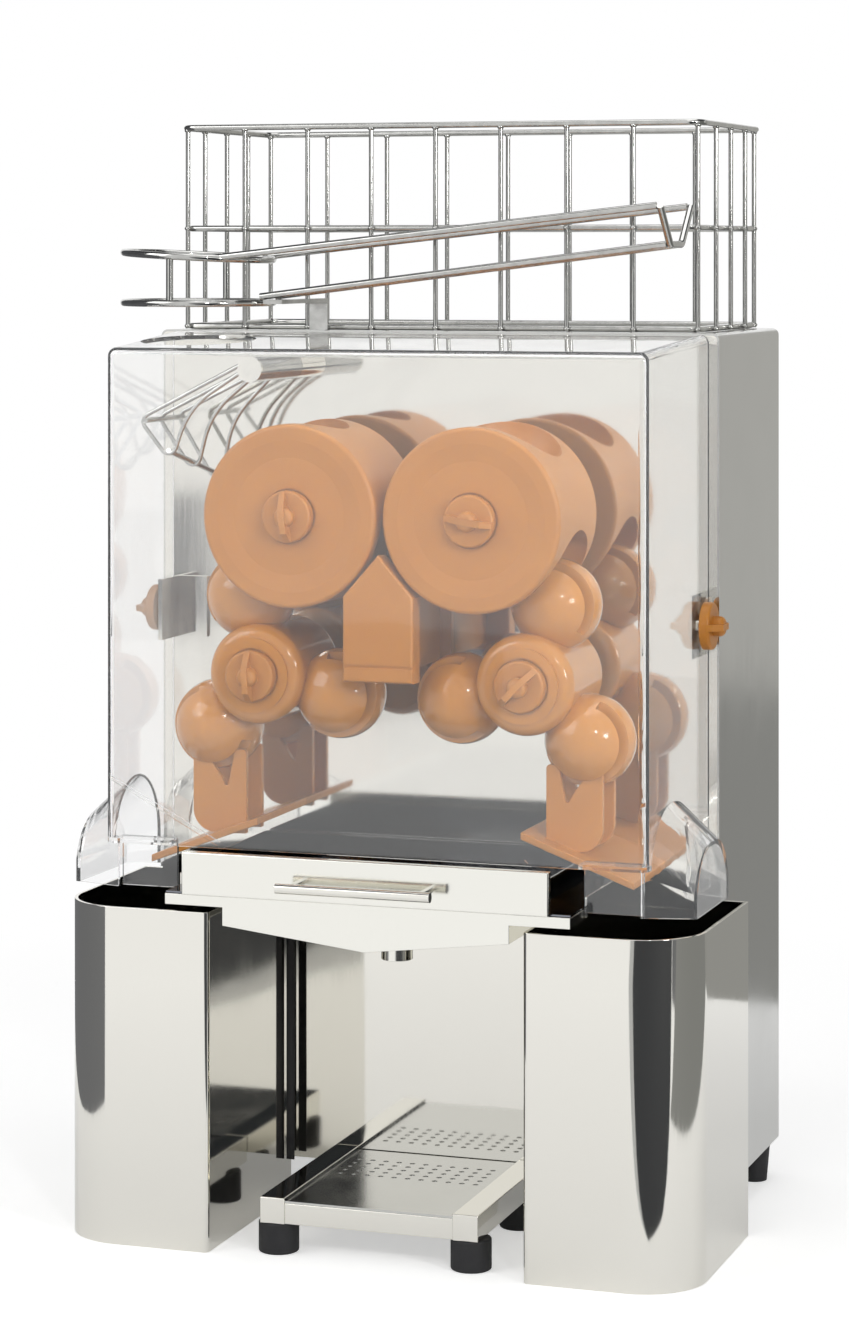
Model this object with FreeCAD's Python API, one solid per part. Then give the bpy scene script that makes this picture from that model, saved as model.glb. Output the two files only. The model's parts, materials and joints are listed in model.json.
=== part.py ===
import FreeCAD, Part
import math
import os

# Automatic orange juicer, in millimetres.
# +X is the right side seen from the front, +Y runs towards the back and +Z is up.
# The origin is the centre of the floor rectangle that the whole machine covers.

V = FreeCAD.Vector

# Cabinet
cabinet_width = 420.6
cabinet_depth = 184.6
cabinet_top = 630.0
sheet = 1.5
cabinet_bend = 5.0
bulkhead_sheet = 3.0
lower_panel_setback = 12.0
rear_flange = 14.0
rear_cover_inset = 3.0
rear_trim = 2.5
foot_height = 28.0
foot_radius = 12.0
foot_taper = 2.5
foot_inset_x = 14.0
foot_inset_y = 22.0
foot_recess = 5.0
base_sheet = 2.0
base_flange = 16.0
overrun = 5.0
seat_gap = 0.3
running_gap = 0.05

# Squeezing drums
gear_module = 3.0
drum_gear_teeth = 44
link_gear_teeth = 39
pinion_teeth = 15
upper_axis_z = 504.3
lower_axis_x = 98.0
disc_radius = 63.6
drum_reach = 116.4
drum_depth = 92.0
disc_edge = 3.0
disc_dish = 1.6
disc_rim = 11.0
disc_slope = 12.0
cup_radius = 38.6
cup_orbit = 63.0
cup_turn_right = 77.0
cup_count = 3
ball_radius = 31.8
ball_orbit = 55.0
ball_reach = 66.4
hub_radius = 35.0
hub_reach = 100.4
hub_depth = 84.0
hub_edge = 9.0
hub_collar_radius = 26.0
hub_collar = 2.4
groove_width = 8.0
groove_floor = 50.0
groove_spread = 15.0

# Shafts, seals and bearings
shaft_radius = 10.0
shaft_nose_radius = 7.0
stud_radius = 4.0
stud_length = 13.0
seal_radius = 18.0
seal_stand = 4.5
seal_lip = 3.0
seal_round = 1.5
housing_radius = 30.0
housing_flange = 5.0
housing_boss_radius = 24.0
housing_clearance = 0.4
bearing_radius = 21.0
bearing_width = 12.0
bearing_race = 3.5
bearing_side = 1.0
bearing_bridge = 2.0

# Gear train depths behind the bulkhead
gear_width = 15.0
front_gear_depth = 19.0
rear_gear_depth = 38.0
gear_hub_radius = 18.0
gear_plate_depth = 60.0
gear_plate_sheet = 8.0
gear_plate_width = 320.0
gear_plate_top = 574.0
gear_plate_foot = 300.0
gear_backlash = 0.35
gear_root_share = 1.25
gear_recess_share = 0.25
pressure_angle = 20.0
shaft_tail = 4.0
circlip_width = 1.6
circlip_rise = 3.0
key_width = 5.0
key_height = 2.4
pinion_x = 40.0
spacer_radius = 7.0
spacer_bolt_radius = 3.0
bolt_head_radius = 5.2
bolt_head = 3.4

# Drive
gearbox_width = 104.0
gearbox_height = 112.0
gearbox_depth = 40.0
gearbox_round = 10.0
gearbox_offset_x = -24.0
gearbox_offset_z = -28.0
motor_radius = 46.0
motor_rear_gap = 15.1
motor_fin = 3.0
motor_fin_pitch = 9.0
motor_cap = 8.0
pinion_shaft_radius = 8.0

# Winged knobs
knob_radius = 18.0
knob_base = 7.0
knob_edge = 2.0
knob_wing = 4.4
knob_wing_rise = 9.0
knob_wing_shares = (0.98, 0.62, 0.30)
knob_boss_radius = 7.0
knob_boss = 8.0
knob_boss_round = 4.0
knob_groove = 1.2
knob_groove_depth = 2.0
left_upper_knob_turn = 98.0
right_upper_knob_turn = 172.0
left_lower_knob_turn = 94.0
right_lower_knob_turn = 45.0

# Knife and its holder
knife_plate_reach = 118.4
knife_plate_thickness = 15.0
knife_half_width = 25.5
knife_apex_z = 479.5
knife_shoulder_z = 450.5
knife_foot_z = 392.0
knife_ledge_z = 402.0
knife_ledge_rise = 2.0
knife_edge = 2.0
spine_half_width = 7.5
spine_top_z = 466.0
spine_foot_z = 396.0
spine_flange_half_width = 16.0
spine_flange = 6.0
blade_thickness = 1.2
blade_top_z = 500.0
blade_seat_depth = 18.0
blade_front_inset = 4.0
blade_rear_reach = 14.0
blade_bevel = 12.0
blade_front_bevel = 36.0

# Peel ejectors
fin_width = 5.0
fin_tip_z = 337.0
fin_inner_x = 110.0
fin_outer_x = 150.0
fin_inner_prong = 9.0
fin_outer_prong = 8.0
fin_notch_x = 124.0
fin_notch_round = 1.5
fin_tip_round = 3.0
fin_heel_round = 16.0
fin_notch_z = 309.0
fin_heel_z = 278.0
scoop_sheet = 5.0
scoop_inner_x = 96.0
scoop_outer_x = 176.0
scoop_inner_z = 292.0
scoop_outer_z = 262.0
ejector_bar = 9.0

# Clear cover
cover_reach = 136.4
cover_front_half = 194.8
cover_rear_half = 202.9
cover_front_top = 620.0
cover_rear_top = 629.0
cover_lip_z = 275.7
cover_wall = 3.0
cover_corner = 6.0
skirt_reach = 120.4
skirt_foot_z = 244.0
flap_inner_x = 147.5
hood_bulge = 25.0
hood_front_reach = 128.0
hood_rear_reach = 24.0
hood_top_z = 321.0
hood_face_inset = 9.0
hood_face_top_z = 289.0
hood_spring_share = 0.35
rib_side_z = 320.0
rib_foot_x = 112.0
rib_width = 2.4
rib_rise = 2.0
drop_hole_radius = 41.0

# Cover clamps
clamp_z = 428.0
clamp_tab_half_height = 22.0
clamp_tab_sheet = 3.0
clamp_knob_radius = 16.5
clamp_knob_margin = 1.0
clamp_knob_stand = 2.4

# Drop ring and feed track
ring_x = -152.0
ring_reach = 70.4
ring_radius = 53.0
lower_ring_z = 651.0
upper_ring_z = 684.0
upper_ring_tilt = 3.0
track_rod_radius = 2.5
track_bend = 5.0
lower_rod_half_gap = 15.0
upper_rod_half_gap = 41.0
track_end_x = 195.0
track_lower_end_z = 692.0
track_upper_end_z = 718.0
track_lower_ring_z = 655.5
track_upper_ring_z = 685.5
bracket_width = 14.0
bracket_sheet = 3.0

# Orange basket
basket_half_width = 198.0
basket_front_depth = 3.6
basket_rear_margin = 2.5
basket_top = 780.0
basket_mid_z = 704.0
basket_foot_z = 632.5
basket_corner = 10.0
ring_wire_radius = 2.2
weld_bite = 0.3
upright_radius = 1.7
front_upright_count = 7
side_upright_count = 3

# Feed gate
gate_x = -99.0
gate_z = 605.0
gate_pin_radius = 5.0
gate_hub_radius = 9.0
gate_hub_length = 78.0
gate_hub_start = 24.0
gate_wire_radius = 1.5
gate_cross_radius = 2.0
gate_cross_overhang = 1.0
gate_tip_bend = 6.0
gate_run_bend = 60.0
gate_upper_turn = 125.0
gate_lower_turn = 185.0
gate_tip_x = -185.5
gate_tip_z = 569.0
gate_low_x = -161.0
gate_low_z = 539.0
gate_low_step_x = 4.5
gate_low_step_z = -12.0
gate_belly = 14.0
gate_belly_rise = 6.0
gate_wire_count = 3

# Pulp drawer
drawer_half_width = 131.5
drawer_foot_z = 245.3
drawer_top_z = 275.0
drawer_front_reach = 151.9
drawer_sheet = 1.2
drawer_front_sheet = 6.0
drawer_box_half_width = 126.0
drawer_box_height = 22.0
drawer_rear_reach = 4.0
hole_radius = 1.8
hole_pitch = 13.5
hole_margin = 12.0
handle_half_length = 55.0
handle_rod_radius = 3.5
handle_stand = 18.0
handle_drop = 3.0
handle_post_radius = 2.6
handle_post_inset = 9.0

# Juice tank
tank_half_width = 145.5
tank_rim_z = 245.0
tank_rim_height = 7.5
tank_front_reach = 147.5
tank_sheet = 1.5
tank_box_half_width = 103.0
tank_side_z = 225.0
tank_centre_z = 213.0
tank_rear_reach = 5.0
spout_radius = 11.0
spout_wall = 1.5
spout_foot_z = 196.0
spout_reach = 78.0
rail_height = 16.0
rail_sheet = 2.0

# Peel bins
bin_inner_x = 112.8
bin_outer_x = 228.3
bin_front_reach = 149.4
bin_height = 233.5
bin_corner = 45.0
bin_small_corner = 4.0
bin_sheet = 1.2
bin_rim = 2.4
bin_hem = 7.2
bin_headroom = 2.5

# Glass stand
stand_half_width = 78.5
stand_front_reach = 139.4
stand_rail = 18.0
stand_foot_height = 21.5
stand_foot_radius = 14.0
stand_foot_inset = 9.0
stand_foot_setback = 13.5
stand_plate_sheet = 1.5
stand_plate_drop = 2.0
stand_tube_wall = 1.5
stand_cap = 1.5
stand_plug = 6.0
stand_hole_radius = 2.0
stand_hole_pitch = 10.0
stand_hole_margin = 8.0
stand_hole_rows = 5

# Electrical pieces
switch_half_width = 11.0
switch_half_height = 15.0
switch_bezel = 2.0
switch_depth = 20.0
switch_y_depth = 130.0
switch_z = 560.0
rocker_inset = 3.0
rocker_turn = 10.0
rocker_pivot_depth = 4.8
rocker_well = 12.0
rocker_height = 10.0
rocker_shares = ((0.36, -0.6), (0.36, 0.6), (-0.4, 0.94), (-0.67, 0.86), (-0.48, 0.0), (-0.67, -0.86),
                 (-0.4, -0.94))
inlet_half_width = 24.0
inlet_half_height = 14.0
inlet_depth = 22.0
inlet_z = 90.0
inlet_x = 150.0
inlet_pin_radius = 1.0
socket_margin = 6.0
socket_wall = 3.0
plunger_x = 201.0
plunger_z = 590.0
plunger_radius = 1.4
plunger_stroke = 3.0
plunger_collar_radius = 2.6
plunger_chamber = 9.0
plunger_gap = 0.1
interlock_width = 8.0
interlock_height = 24.0
interlock_depth = 14.0
control_width = 96.0
control_height = 70.0
control_depth = 60.0
control_x = -128.0
louvre_count = 7
louvre_width = 110.0
louvre_height = 5.0
louvre_round = 2.25
louvre_blade = 1.0
louvre_pitch = 14.0
louvre_z = 470.0
cover_screw_radius = 3.8
cover_screw_shank = 1.5
cover_screw_head = 2.0
cover_screw_round = 1.2
cover_screw_length = 6.0
cover_screw_rows = 5

# Places worked out from the sizes above
half_width = cabinet_width / 2
front_reach = drawer_front_reach + handle_stand + handle_rod_radius
rear_reach = cabinet_depth + rear_trim
bulkhead_y = (front_reach - rear_reach) / 2
rear_y = bulkhead_y + cabinet_depth
upper_axis_x = gear_module * drum_gear_teeth / 2
link_distance = gear_module * link_gear_teeth
lower_axis_z = upper_axis_z - math.sqrt(link_distance ** 2 - (lower_axis_x - upper_axis_x) ** 2)
pinion_distance = gear_module * (link_gear_teeth + pinion_teeth) / 2
pinion_z = lower_axis_z - math.sqrt(pinion_distance ** 2 - (lower_axis_x - pinion_x) ** 2)
lower_panel_y = bulkhead_y + lower_panel_setback
gear_plate_y = bulkhead_y + gear_plate_depth
shaft_end_y = gear_plate_y + gear_plate_sheet + shaft_tail
upper_axes = ((-upper_axis_x, upper_axis_z), (upper_axis_x, upper_axis_z))
lower_axes = ((-lower_axis_x, lower_axis_z), (lower_axis_x, lower_axis_z))
clamp_reach = clamp_knob_radius + clamp_knob_margin
bulkhead_foot_z = bin_height + bin_headroom
blade_slot_z = spine_top_z - blade_seat_depth
gearbox_y = gear_plate_y + gear_plate_sheet
motor_y = gearbox_y + gearbox_depth
motor_length = rear_y - sheet - motor_rear_gap - motor_y
stand_rear_reach = seat_gap - lower_panel_setback


def ahead(reach):
    """Depth coordinate of a plane that lies this far in front of the bulkhead."""
    return bulkhead_y - reach


def behind(depth):
    """Depth coordinate of a plane that lies this far behind the bulkhead's front."""
    return bulkhead_y + depth


def box(x0, x1, y0, y1, z0, z1):
    """Box between two corners."""
    return Part.makeBox(x1 - x0, y1 - y0, z1 - z0, V(x0, y0, z0))


def rod_y(x, z, y0, y1, radius):
    """Round bar along Y."""
    return Part.makeCylinder(radius, y1 - y0, V(x, y0, z), V(0, 1, 0))


def rod_x(y, z, x0, x1, radius):
    """Round bar along X."""
    return Part.makeCylinder(radius, x1 - x0, V(x0, y, z), V(1, 0, 0))


def rod_z(x, y, z0, z1, radius):
    """Round bar along Z."""
    return Part.makeCylinder(radius, z1 - z0, V(x, y, z0), V(0, 0, 1))


def rod_between(start, end, radius):
    """Round bar from one point to another."""
    run = end.sub(start)
    return Part.makeCylinder(radius, run.Length, start, run)


def ring_y(x, z, y0, y1, outer, inner):
    """Flat ring whose axis runs along Y."""
    hole = rod_y(x, z, y0 - overrun, y1 + overrun, inner)
    return rod_y(x, z, y0, y1, outer).cut(hole)


def mirrored(shape):
    """The same shape on the other side of the middle plane."""
    return shape.mirror(V(0, 0, 0), V(1, 0, 0))


def both_sides(right_shape):
    """Left and right copies of a right-hand piece."""
    return (mirrored(right_shape), right_shape)


def polygon_face(points):
    """Flat face through a closed list of points."""
    return Part.Face(Part.makePolygon(list(points) + [points[0]]))


def prism_y(outline, y0, y1):
    """Solid with an outline of (x, z) points and its depth along Y."""
    face = polygon_face([V(x, y0, z) for x, z in outline])
    return face.extrude(V(0, y1 - y0, 0))


def prism_z(outline, z0, z1):
    """Solid with an outline of (x, y) points and its height along Z."""
    face = polygon_face([V(x, y, z0) for x, y in outline])
    return face.extrude(V(0, 0, z1 - z0))


def prism_x(outline, x0, x1):
    """Solid with an outline of (y, z) points and its length along X."""
    face = polygon_face([V(x0, y, z) for y, z in outline])
    return face.extrude(V(x1 - x0, 0, 0))


def edges_along(shape, direction, test=None):
    """Straight edges of a shape that run along a direction and pass a test on their middle."""
    found = []
    for edge in shape.Edges:
        if edge.Curve.TypeId != "Part::GeomLine":
            continue
        run = edge.Vertexes[-1].Point.sub(edge.Vertexes[0].Point)
        if run.cross(direction).Length > run.Length * math.sin(math.radians(1)):
            continue
        middle = edge.CenterOfMass
        if test is None or test(middle):
            found.append(edge)
    return found


def arc_edge(middle_points):
    """Arc through three points."""
    return Part.Arc(*middle_points).toShape()


def rounded_path(points, bends, closed=False):
    """Wire of straight runs joined by tangent arcs, each inner corner with its own bend radius."""
    count = len(points)
    corners = range(count) if closed else range(1, count - 1)
    trims = {}
    for index, bend in zip(corners, bends):
        before = points[(index - 1) % count].sub(points[index]).normalize()
        after = points[(index + 1) % count].sub(points[index]).normalize()
        opening = before.getAngle(after)
        reach = bend / math.tan(opening / 2)
        bisector = (before + after).normalize()
        middle = points[index] + bisector * (bend / math.sin(opening / 2) - bend)
        trims[index] = (points[index] + before * reach, middle, points[index] + after * reach)
    edges = []
    spans = count if closed else count - 1
    for index in range(spans):
        following = (index + 1) % count
        start = trims[index][2] if index in trims else points[index]
        end = trims[following][0] if following in trims else points[following]
        edges.append(Part.LineSegment(start, end).toShape())
        if following in trims:
            edges.append(arc_edge(trims[following]))
    return Part.Wire(edges)


def bent_wire(points, radius, bends, closed=False):
    """Round wire that follows straight runs joined by arcs."""
    path = rounded_path(points, bends, closed)
    first = path.Edges[0]
    start = first.valueAt(first.FirstParameter)
    tangent = first.tangentAt(first.FirstParameter)
    section = Part.Wire(Part.makeCircle(radius, start, tangent))
    return path.makePipeShell([section], True, False)


def rounded_box(x0, x1, y0, y1, z0, z1, radius, direction):
    """Box with its edges along one direction rounded."""
    block = box(x0, x1, y0, y1, z0, z1)
    return block.makeFillet(radius, edges_along(block, direction))


def turned_y(shape, x, z, degrees):
    """Copy turned about an axis along Y, anticlockwise seen from the front."""
    copy = shape.copy()
    copy.rotate(V(x, 0, z), V(0, -1, 0), degrees)
    return copy


def gear_flank(radius_share, teeth, side, centre_angle):
    """Point on one side of an involute tooth at a share of the pitch radius."""
    pitch_radius = gear_module * teeth / 2
    base_radius = pitch_radius * math.cos(math.radians(pressure_angle))
    radius = max(radius_share * pitch_radius, base_radius)
    roll = math.sqrt((radius / base_radius) ** 2 - 1)
    pitch_roll = math.tan(math.radians(pressure_angle))
    involute = (roll - math.atan(roll)) - (pitch_roll - math.radians(pressure_angle))
    thickness = math.pi * gear_module / 2 - gear_backlash
    half_angle = thickness / 2 / pitch_radius - involute
    angle = centre_angle + side * half_angle
    return radius_share * pitch_radius * math.cos(angle), radius_share * pitch_radius * math.sin(angle)


def gear_blank(teeth, x, z, y0, phase_degrees):
    """Spur gear with involute teeth, turned so that a tooth points along the phase angle."""
    pitch_radius = gear_module * teeth / 2
    root_share = 1 - gear_root_share * gear_module / pitch_radius
    tip_share = 1 + gear_module / pitch_radius
    outline = []
    for tooth in range(teeth):
        centre = math.radians(phase_degrees) + 2 * math.pi * tooth / teeth
        for side in (-1, 1):
            shares = (root_share, 1 - (1 - root_share) / 2, 1, (1 + tip_share) / 2, tip_share)
            ordered = shares if side < 0 else shares[::-1]
            outline += [gear_flank(share, teeth, side, centre) for share in ordered]
    return prism_y([(x + a, z + b) for a, b in outline], y0, y0 + gear_width)


def meshing_phase(phase, teeth, other_teeth, direction):
    """Phase of a gear that meshes with one of a known phase, the direction being from it."""
    return direction + 180 - teeth / other_teeth * (phase - direction) + 180 / other_teeth


def fixed_gear(teeth, x, z, y0, phase, bore):
    """Gear with its hub and bore, and a keyway at the top of the bore."""
    hub = rod_y(x, z, y0, y0 + gear_width, min(gear_hub_radius, gear_module * teeth / 2 - gear_module))
    gear = gear_blank(teeth, x, z, y0, phase)
    recess_outer = gear_module * teeth / 2 - gear_module * 4
    if recess_outer > gear_hub_radius:
        for face_y in (y0 - overrun, y0 + gear_width * (1 - gear_recess_share)):
            ring = ring_y(x, z, face_y, face_y + overrun + gear_width * gear_recess_share,
                          recess_outer, gear_hub_radius)
            gear = gear.cut(ring)
    gear = gear.fuse(hub)
    gear = gear.cut(rod_y(x, z, y0 - overrun, y0 + gear_width + overrun, bore))
    return gear.cut(keyway(x, z, y0 - overrun, y0 + gear_width + overrun, bore))


def keyway(x, z, y0, y1, bore):
    """Room for a key, half in the shaft and half in the gear."""
    return box(x - key_width / 2, x + key_width / 2, y0, y1, z + bore - key_height / 2,
               z + bore + key_height / 2)


def cabinet_shell():
    """Folded wrapper: both sides and the top, with turned-in flanges at the back and low front."""
    outer = box(-half_width, half_width, bulkhead_y, rear_y, foot_height, cabinet_top)
    outer = outer.makeFillet(cabinet_bend,
                             edges_along(outer, V(0, 1, 0), lambda p: p.z > cabinet_top - sheet))
    inner = box(-half_width + sheet, half_width - sheet, bulkhead_y - overrun,
                rear_y - rear_cover_sheet() - sheet, foot_height - overrun, cabinet_top - sheet)
    inner = inner.makeFillet(cabinet_bend - sheet,
                             edges_along(inner, V(0, 1, 0), lambda p: p.z > foot_height))
    window = box(-half_width + rear_flange, half_width - rear_flange, bulkhead_y, rear_y + overrun,
                 foot_height - overrun, cabinet_top - rear_flange)
    rebate = box(-half_width - overrun, half_width + overrun, rear_y - rear_cover_sheet(), rear_y + overrun,
                 foot_height - overrun, cabinet_top + overrun)
    notch = box(-half_width - overrun, half_width + overrun, bulkhead_y - overrun, lower_panel_y,
                foot_height - overrun, bulkhead_foot_z)
    shell = outer.cut(inner).cut(window).cut(rebate).cut(notch)
    cutout = box(-half_width - overrun, -half_width + sheet + overrun,
                 behind(switch_y_depth) - switch_half_width, behind(switch_y_depth) + switch_half_width,
                 switch_z - switch_half_height, switch_z + switch_half_height)
    for x, z in cover_screw_places():
        shell = shell.cut(rod_y(x, z, rear_y - cover_screw_length, rear_y + overrun, cover_screw_shank))
    return shell.cut(cutout)


def rear_cover_sheet():
    """Thickness of the removable back panel."""
    return sheet


def bulkhead():
    """Polished front plate with the holes for shafts, gate pin and interlock."""
    plate = box(-half_width + sheet, half_width - sheet, bulkhead_y, behind(bulkhead_sheet),
                bulkhead_foot_z, cabinet_top - sheet)
    plate = plate.makeFillet(cabinet_bend - sheet,
                             edges_along(plate, V(0, 1, 0), lambda p: p.z > cabinet_top / 2))
    for x, z in upper_axes + lower_axes:
        plate = plate.cut(rod_y(x, z, ahead(overrun), behind(bulkhead_sheet + overrun),
                                housing_boss_radius))
    plate = plate.cut(rod_y(gate_x, gate_z, ahead(overrun), behind(bulkhead_sheet + overrun),
                            gate_pin_radius))
    return plate.cut(rod_y(plunger_x, plunger_z, ahead(overrun), behind(bulkhead_sheet + overrun),
                           plunger_radius + running_gap))


def lower_front_panel():
    """Set-back panel between the bins, with a top flange that meets the bulkhead."""
    inner_half = half_width - sheet
    panel = box(-inner_half, inner_half, lower_panel_y, lower_panel_y + sheet, foot_height, bulkhead_foot_z)
    flange = box(-inner_half, inner_half, bulkhead_y, lower_panel_y, bulkhead_foot_z - sheet,
                 bulkhead_foot_z)
    return panel.fuse(flange).removeSplitter()


def rear_cover():
    """Removable back panel with rows of cooling slots and a cut-out for the inlet."""
    panel = box(-half_width + rear_cover_inset, half_width - rear_cover_inset, rear_y - rear_cover_sheet(),
                rear_y, foot_height + rear_cover_inset, cabinet_top - rear_cover_inset)
    panel = panel.makeFillet(rear_cover_inset, edges_along(panel, V(0, 1, 0)))
    for column in (-1, 1):
        centre = column * half_width / 2
        for row in range(louvre_count):
            z = louvre_z + louvre_pitch * (row - (louvre_count - 1) / 2)
            slot = rounded_box(centre - louvre_width / 2, centre + louvre_width / 2,
                               rear_y - rear_cover_sheet() - overrun, rear_y + overrun,
                               z - louvre_height / 2, z + louvre_height / 2, louvre_round, V(0, 1, 0))
            panel = panel.cut(slot)
    for x, z in cover_screw_places():
        panel = panel.cut(rod_y(x, z, rear_y - cover_screw_length, rear_y + overrun, cover_screw_shank))
    panel = panel.cut(inlet_body_block(overrun))
    return panel.fuse(louvre_blades()).removeSplitter()


def cover_screw_places():
    """Centres of the screws round the back panel."""
    low = foot_height + rear_flange * 2
    high = cabinet_top - rear_flange * 2
    x = half_width - rear_flange / 2
    return [(side * x, low + (high - low) * row / (cover_screw_rows - 1))
            for side in (-1, 1) for row in range(cover_screw_rows)]


def inlet_body_block(extra):
    """Block that fills the inlet's cut-out, run past the panel."""
    half_x = inlet_half_width - socket_margin
    half_z = inlet_half_height - socket_wall
    return box(inlet_x - half_x, inlet_x + half_x, rear_y - inlet_depth, rear_y + extra, inlet_z - half_z,
               inlet_z + half_z)


def louvre_blades():
    """Slanted hood pressed out over each cooling slot."""
    blades = []
    for column in (-1, 1):
        centre = column * half_width / 2
        for row in range(louvre_count):
            foot = louvre_z + louvre_pitch * (row - (louvre_count - 1) / 2) + louvre_height / 2
            outline = [(rear_y - rear_cover_sheet() / 2, foot), (rear_y + rear_trim, foot - louvre_height),
                       (rear_y + rear_trim, foot - louvre_height + louvre_blade),
                       (rear_y - rear_cover_sheet() / 2, foot + rear_trim)]
            blades.append(prism_x(outline, centre - louvre_width / 2, centre + louvre_width / 2))
    return blades


def rear_cover_screws():
    """Round-headed screws around the back panel."""
    screws = []
    for x, z in cover_screw_places():
        head = rod_y(x, z, rear_y, rear_y + cover_screw_head, cover_screw_radius)
        outer = [e for e in head.Edges if e.Closed and e.CenterOfMass.y > rear_y + cover_screw_head / 2]
        shank = rod_y(x, z, rear_y - cover_screw_length, rear_y, cover_screw_shank)
        screws.append(head.makeFillet(cover_screw_round, outer).fuse(shank).removeSplitter())
    return screws


def base_plate():
    """Pressed floor of the cabinet with upturned edges."""
    inner_half = half_width - sheet
    outer = box(-inner_half, inner_half, lower_panel_y + sheet, rear_y - 2 * sheet, foot_height,
                foot_height + base_flange)
    inner = box(-inner_half + base_sheet, inner_half - base_sheet, lower_panel_y + sheet + base_sheet,
                rear_y - 2 * sheet - base_sheet, foot_height + base_sheet,
                foot_height + base_flange + overrun)
    return outer.cut(inner)


def foot_places():
    """Centres of the four cabinet feet."""
    x = half_width - foot_inset_x
    return [(side * x, y) for side in (-1, 1) for y in (lower_panel_y + foot_inset_y,
                                                        rear_y - foot_inset_y)]


def cabinet_feet():
    """Tapered rubber feet with a screw recess."""
    feet = []
    for x, y in foot_places():
        foot = Part.makeCone(foot_radius - foot_taper, foot_radius, foot_height, V(x, y, 0))
        foot = foot.cut(rod_z(x, y, -overrun, foot_recess, bolt_head_radius))
        feet.append(foot.cut(rod_z(x, y, -overrun, foot_height + overrun, spacer_bolt_radius)))
    return Part.makeCompound(feet)


def foot_screws():
    """Screw through each foot into the floor plate, with its nut."""
    screws = []
    for x, y in foot_places():
        shank = rod_z(x, y, foot_recess - bolt_head, foot_height + base_sheet + bolt_head,
                      spacer_bolt_radius)
        head = rod_z(x, y, foot_recess - bolt_head, foot_recess, bolt_head_radius)
        nut = rod_z(x, y, foot_height + base_sheet, foot_height + base_sheet + bolt_head, bolt_head_radius)
        screws.append(shank.fuse(head).fuse(nut).removeSplitter())
    return screws


def drilled_base():
    """Floor plate with the holes for the foot screws."""
    plate = base_plate()
    for x, y in foot_places():
        plate = plate.cut(rod_z(x, y, foot_height - overrun, foot_height + base_sheet + overrun,
                                spacer_bolt_radius))
    return plate


def gear_plate():
    """Thick plate that carries the rear bearings and the drive."""
    plate = rounded_box(-gear_plate_width / 2, gear_plate_width / 2, gear_plate_y,
                        gear_plate_y + gear_plate_sheet, gear_plate_foot, gear_plate_top, gearbox_round,
                        V(0, 1, 0))
    for x, z in upper_axes + lower_axes:
        plate = plate.cut(rod_y(x, z, gear_plate_y - overrun, gear_plate_y + gear_plate_sheet + overrun,
                                bearing_radius))
    plate = plate.cut(rod_y(pinion_x, pinion_z, gear_plate_y - overrun,
                            gear_plate_y + gear_plate_sheet + overrun, gear_hub_radius))
    for x, z in spacer_places():
        plate = plate.cut(rod_y(x, z, gear_plate_y - overrun, gear_plate_y + gear_plate_sheet + overrun,
                                spacer_bolt_radius))
    return plate


def spacer_places():
    """Centres of the pillars between bulkhead and gear plate."""
    x = gear_plate_width / 2 - spacer_radius * 2
    low = gear_plate_foot + spacer_radius * 2
    high = gear_plate_top - spacer_radius * 2
    return [(side * x, z) for side in (-1, 1) for z in (low, (low + high) / 2 + spacer_radius * 4, high)]


def plate_spacers():
    """Steel pillars that hold the gear plate off the bulkhead."""
    return Part.makeCompound([ring_y(x, z, behind(bulkhead_sheet), gear_plate_y, spacer_radius,
                                     spacer_bolt_radius) for x, z in spacer_places()])


def spacer_bolts():
    """Bolt through each pillar, its head behind the gear plate."""
    bolts = []
    for x, z in spacer_places():
        rear = gear_plate_y + gear_plate_sheet
        shank = rod_y(x, z, behind(bulkhead_sheet), rear, spacer_bolt_radius)
        head = rod_y(x, z, rear, rear + bolt_head, bolt_head_radius)
        bolts.append(shank.fuse(head).removeSplitter())
    return bolts


def drum_shaft(x, z, nose_reach, starts):
    """Stepped shaft with its stud, drum seat, keys and the spring clip at its back end."""
    shaft = rod_y(x, z, ahead(seal_stand + seal_lip), shaft_end_y, shaft_radius)
    nose = rod_y(x, z, ahead(nose_reach), ahead(seal_stand + seal_lip), shaft_nose_radius)
    stud = rod_y(x, z, ahead(nose_reach + stud_length), ahead(nose_reach), stud_radius)
    shaft = shaft.fuse([nose, stud]).removeSplitter()
    keys = [gear_key(x, z, start) for start in starts]
    return shaft.fuse(keys + [circlip(x, z)]).removeSplitter()


def gear_starts():
    """Front faces of the two gear layers."""
    return behind(front_gear_depth), behind(rear_gear_depth)


def circlip(x, z):
    """Spring clip in the groove at the shaft's back end."""
    groove_y = shaft_end_y - shaft_tail / 2
    clip = ring_y(x, z, groove_y - circlip_width / 2, groove_y + circlip_width / 2,
                  shaft_radius + circlip_rise, shaft_radius - circlip_width / 2)
    gap = box(x - circlip_rise / 2, x + circlip_rise / 2, groove_y - circlip_width,
              groove_y + circlip_width, z - shaft_radius - circlip_rise - overrun, z - shaft_radius / 2)
    return clip.cut(gap)


def gear_key(x, z, start):
    """Key that locks a gear to its shaft."""
    return keyway(x, z, start, start + gear_width, shaft_radius)


def front_housings():
    """Flanged bearing housings seated in the bulkhead's holes."""
    housings = []
    for x, z in upper_axes + lower_axes:
        body = rod_y(x, z, bulkhead_y, behind(bulkhead_sheet + housing_flange + bearing_width / 2),
                     housing_boss_radius)
        flange = rod_y(x, z, behind(bulkhead_sheet), behind(bulkhead_sheet + housing_flange),
                       housing_radius)
        pocket = rod_y(x, z, behind(bearing_bridge), behind(bearing_bridge + bearing_width + overrun),
                       bearing_radius)
        bore = rod_y(x, z, ahead(overrun), behind(gear_plate_depth), shaft_radius + housing_clearance)
        housings.append(body.fuse(flange).cut(pocket).cut(bore).removeSplitter())
    return Part.makeCompound(housings)


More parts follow.
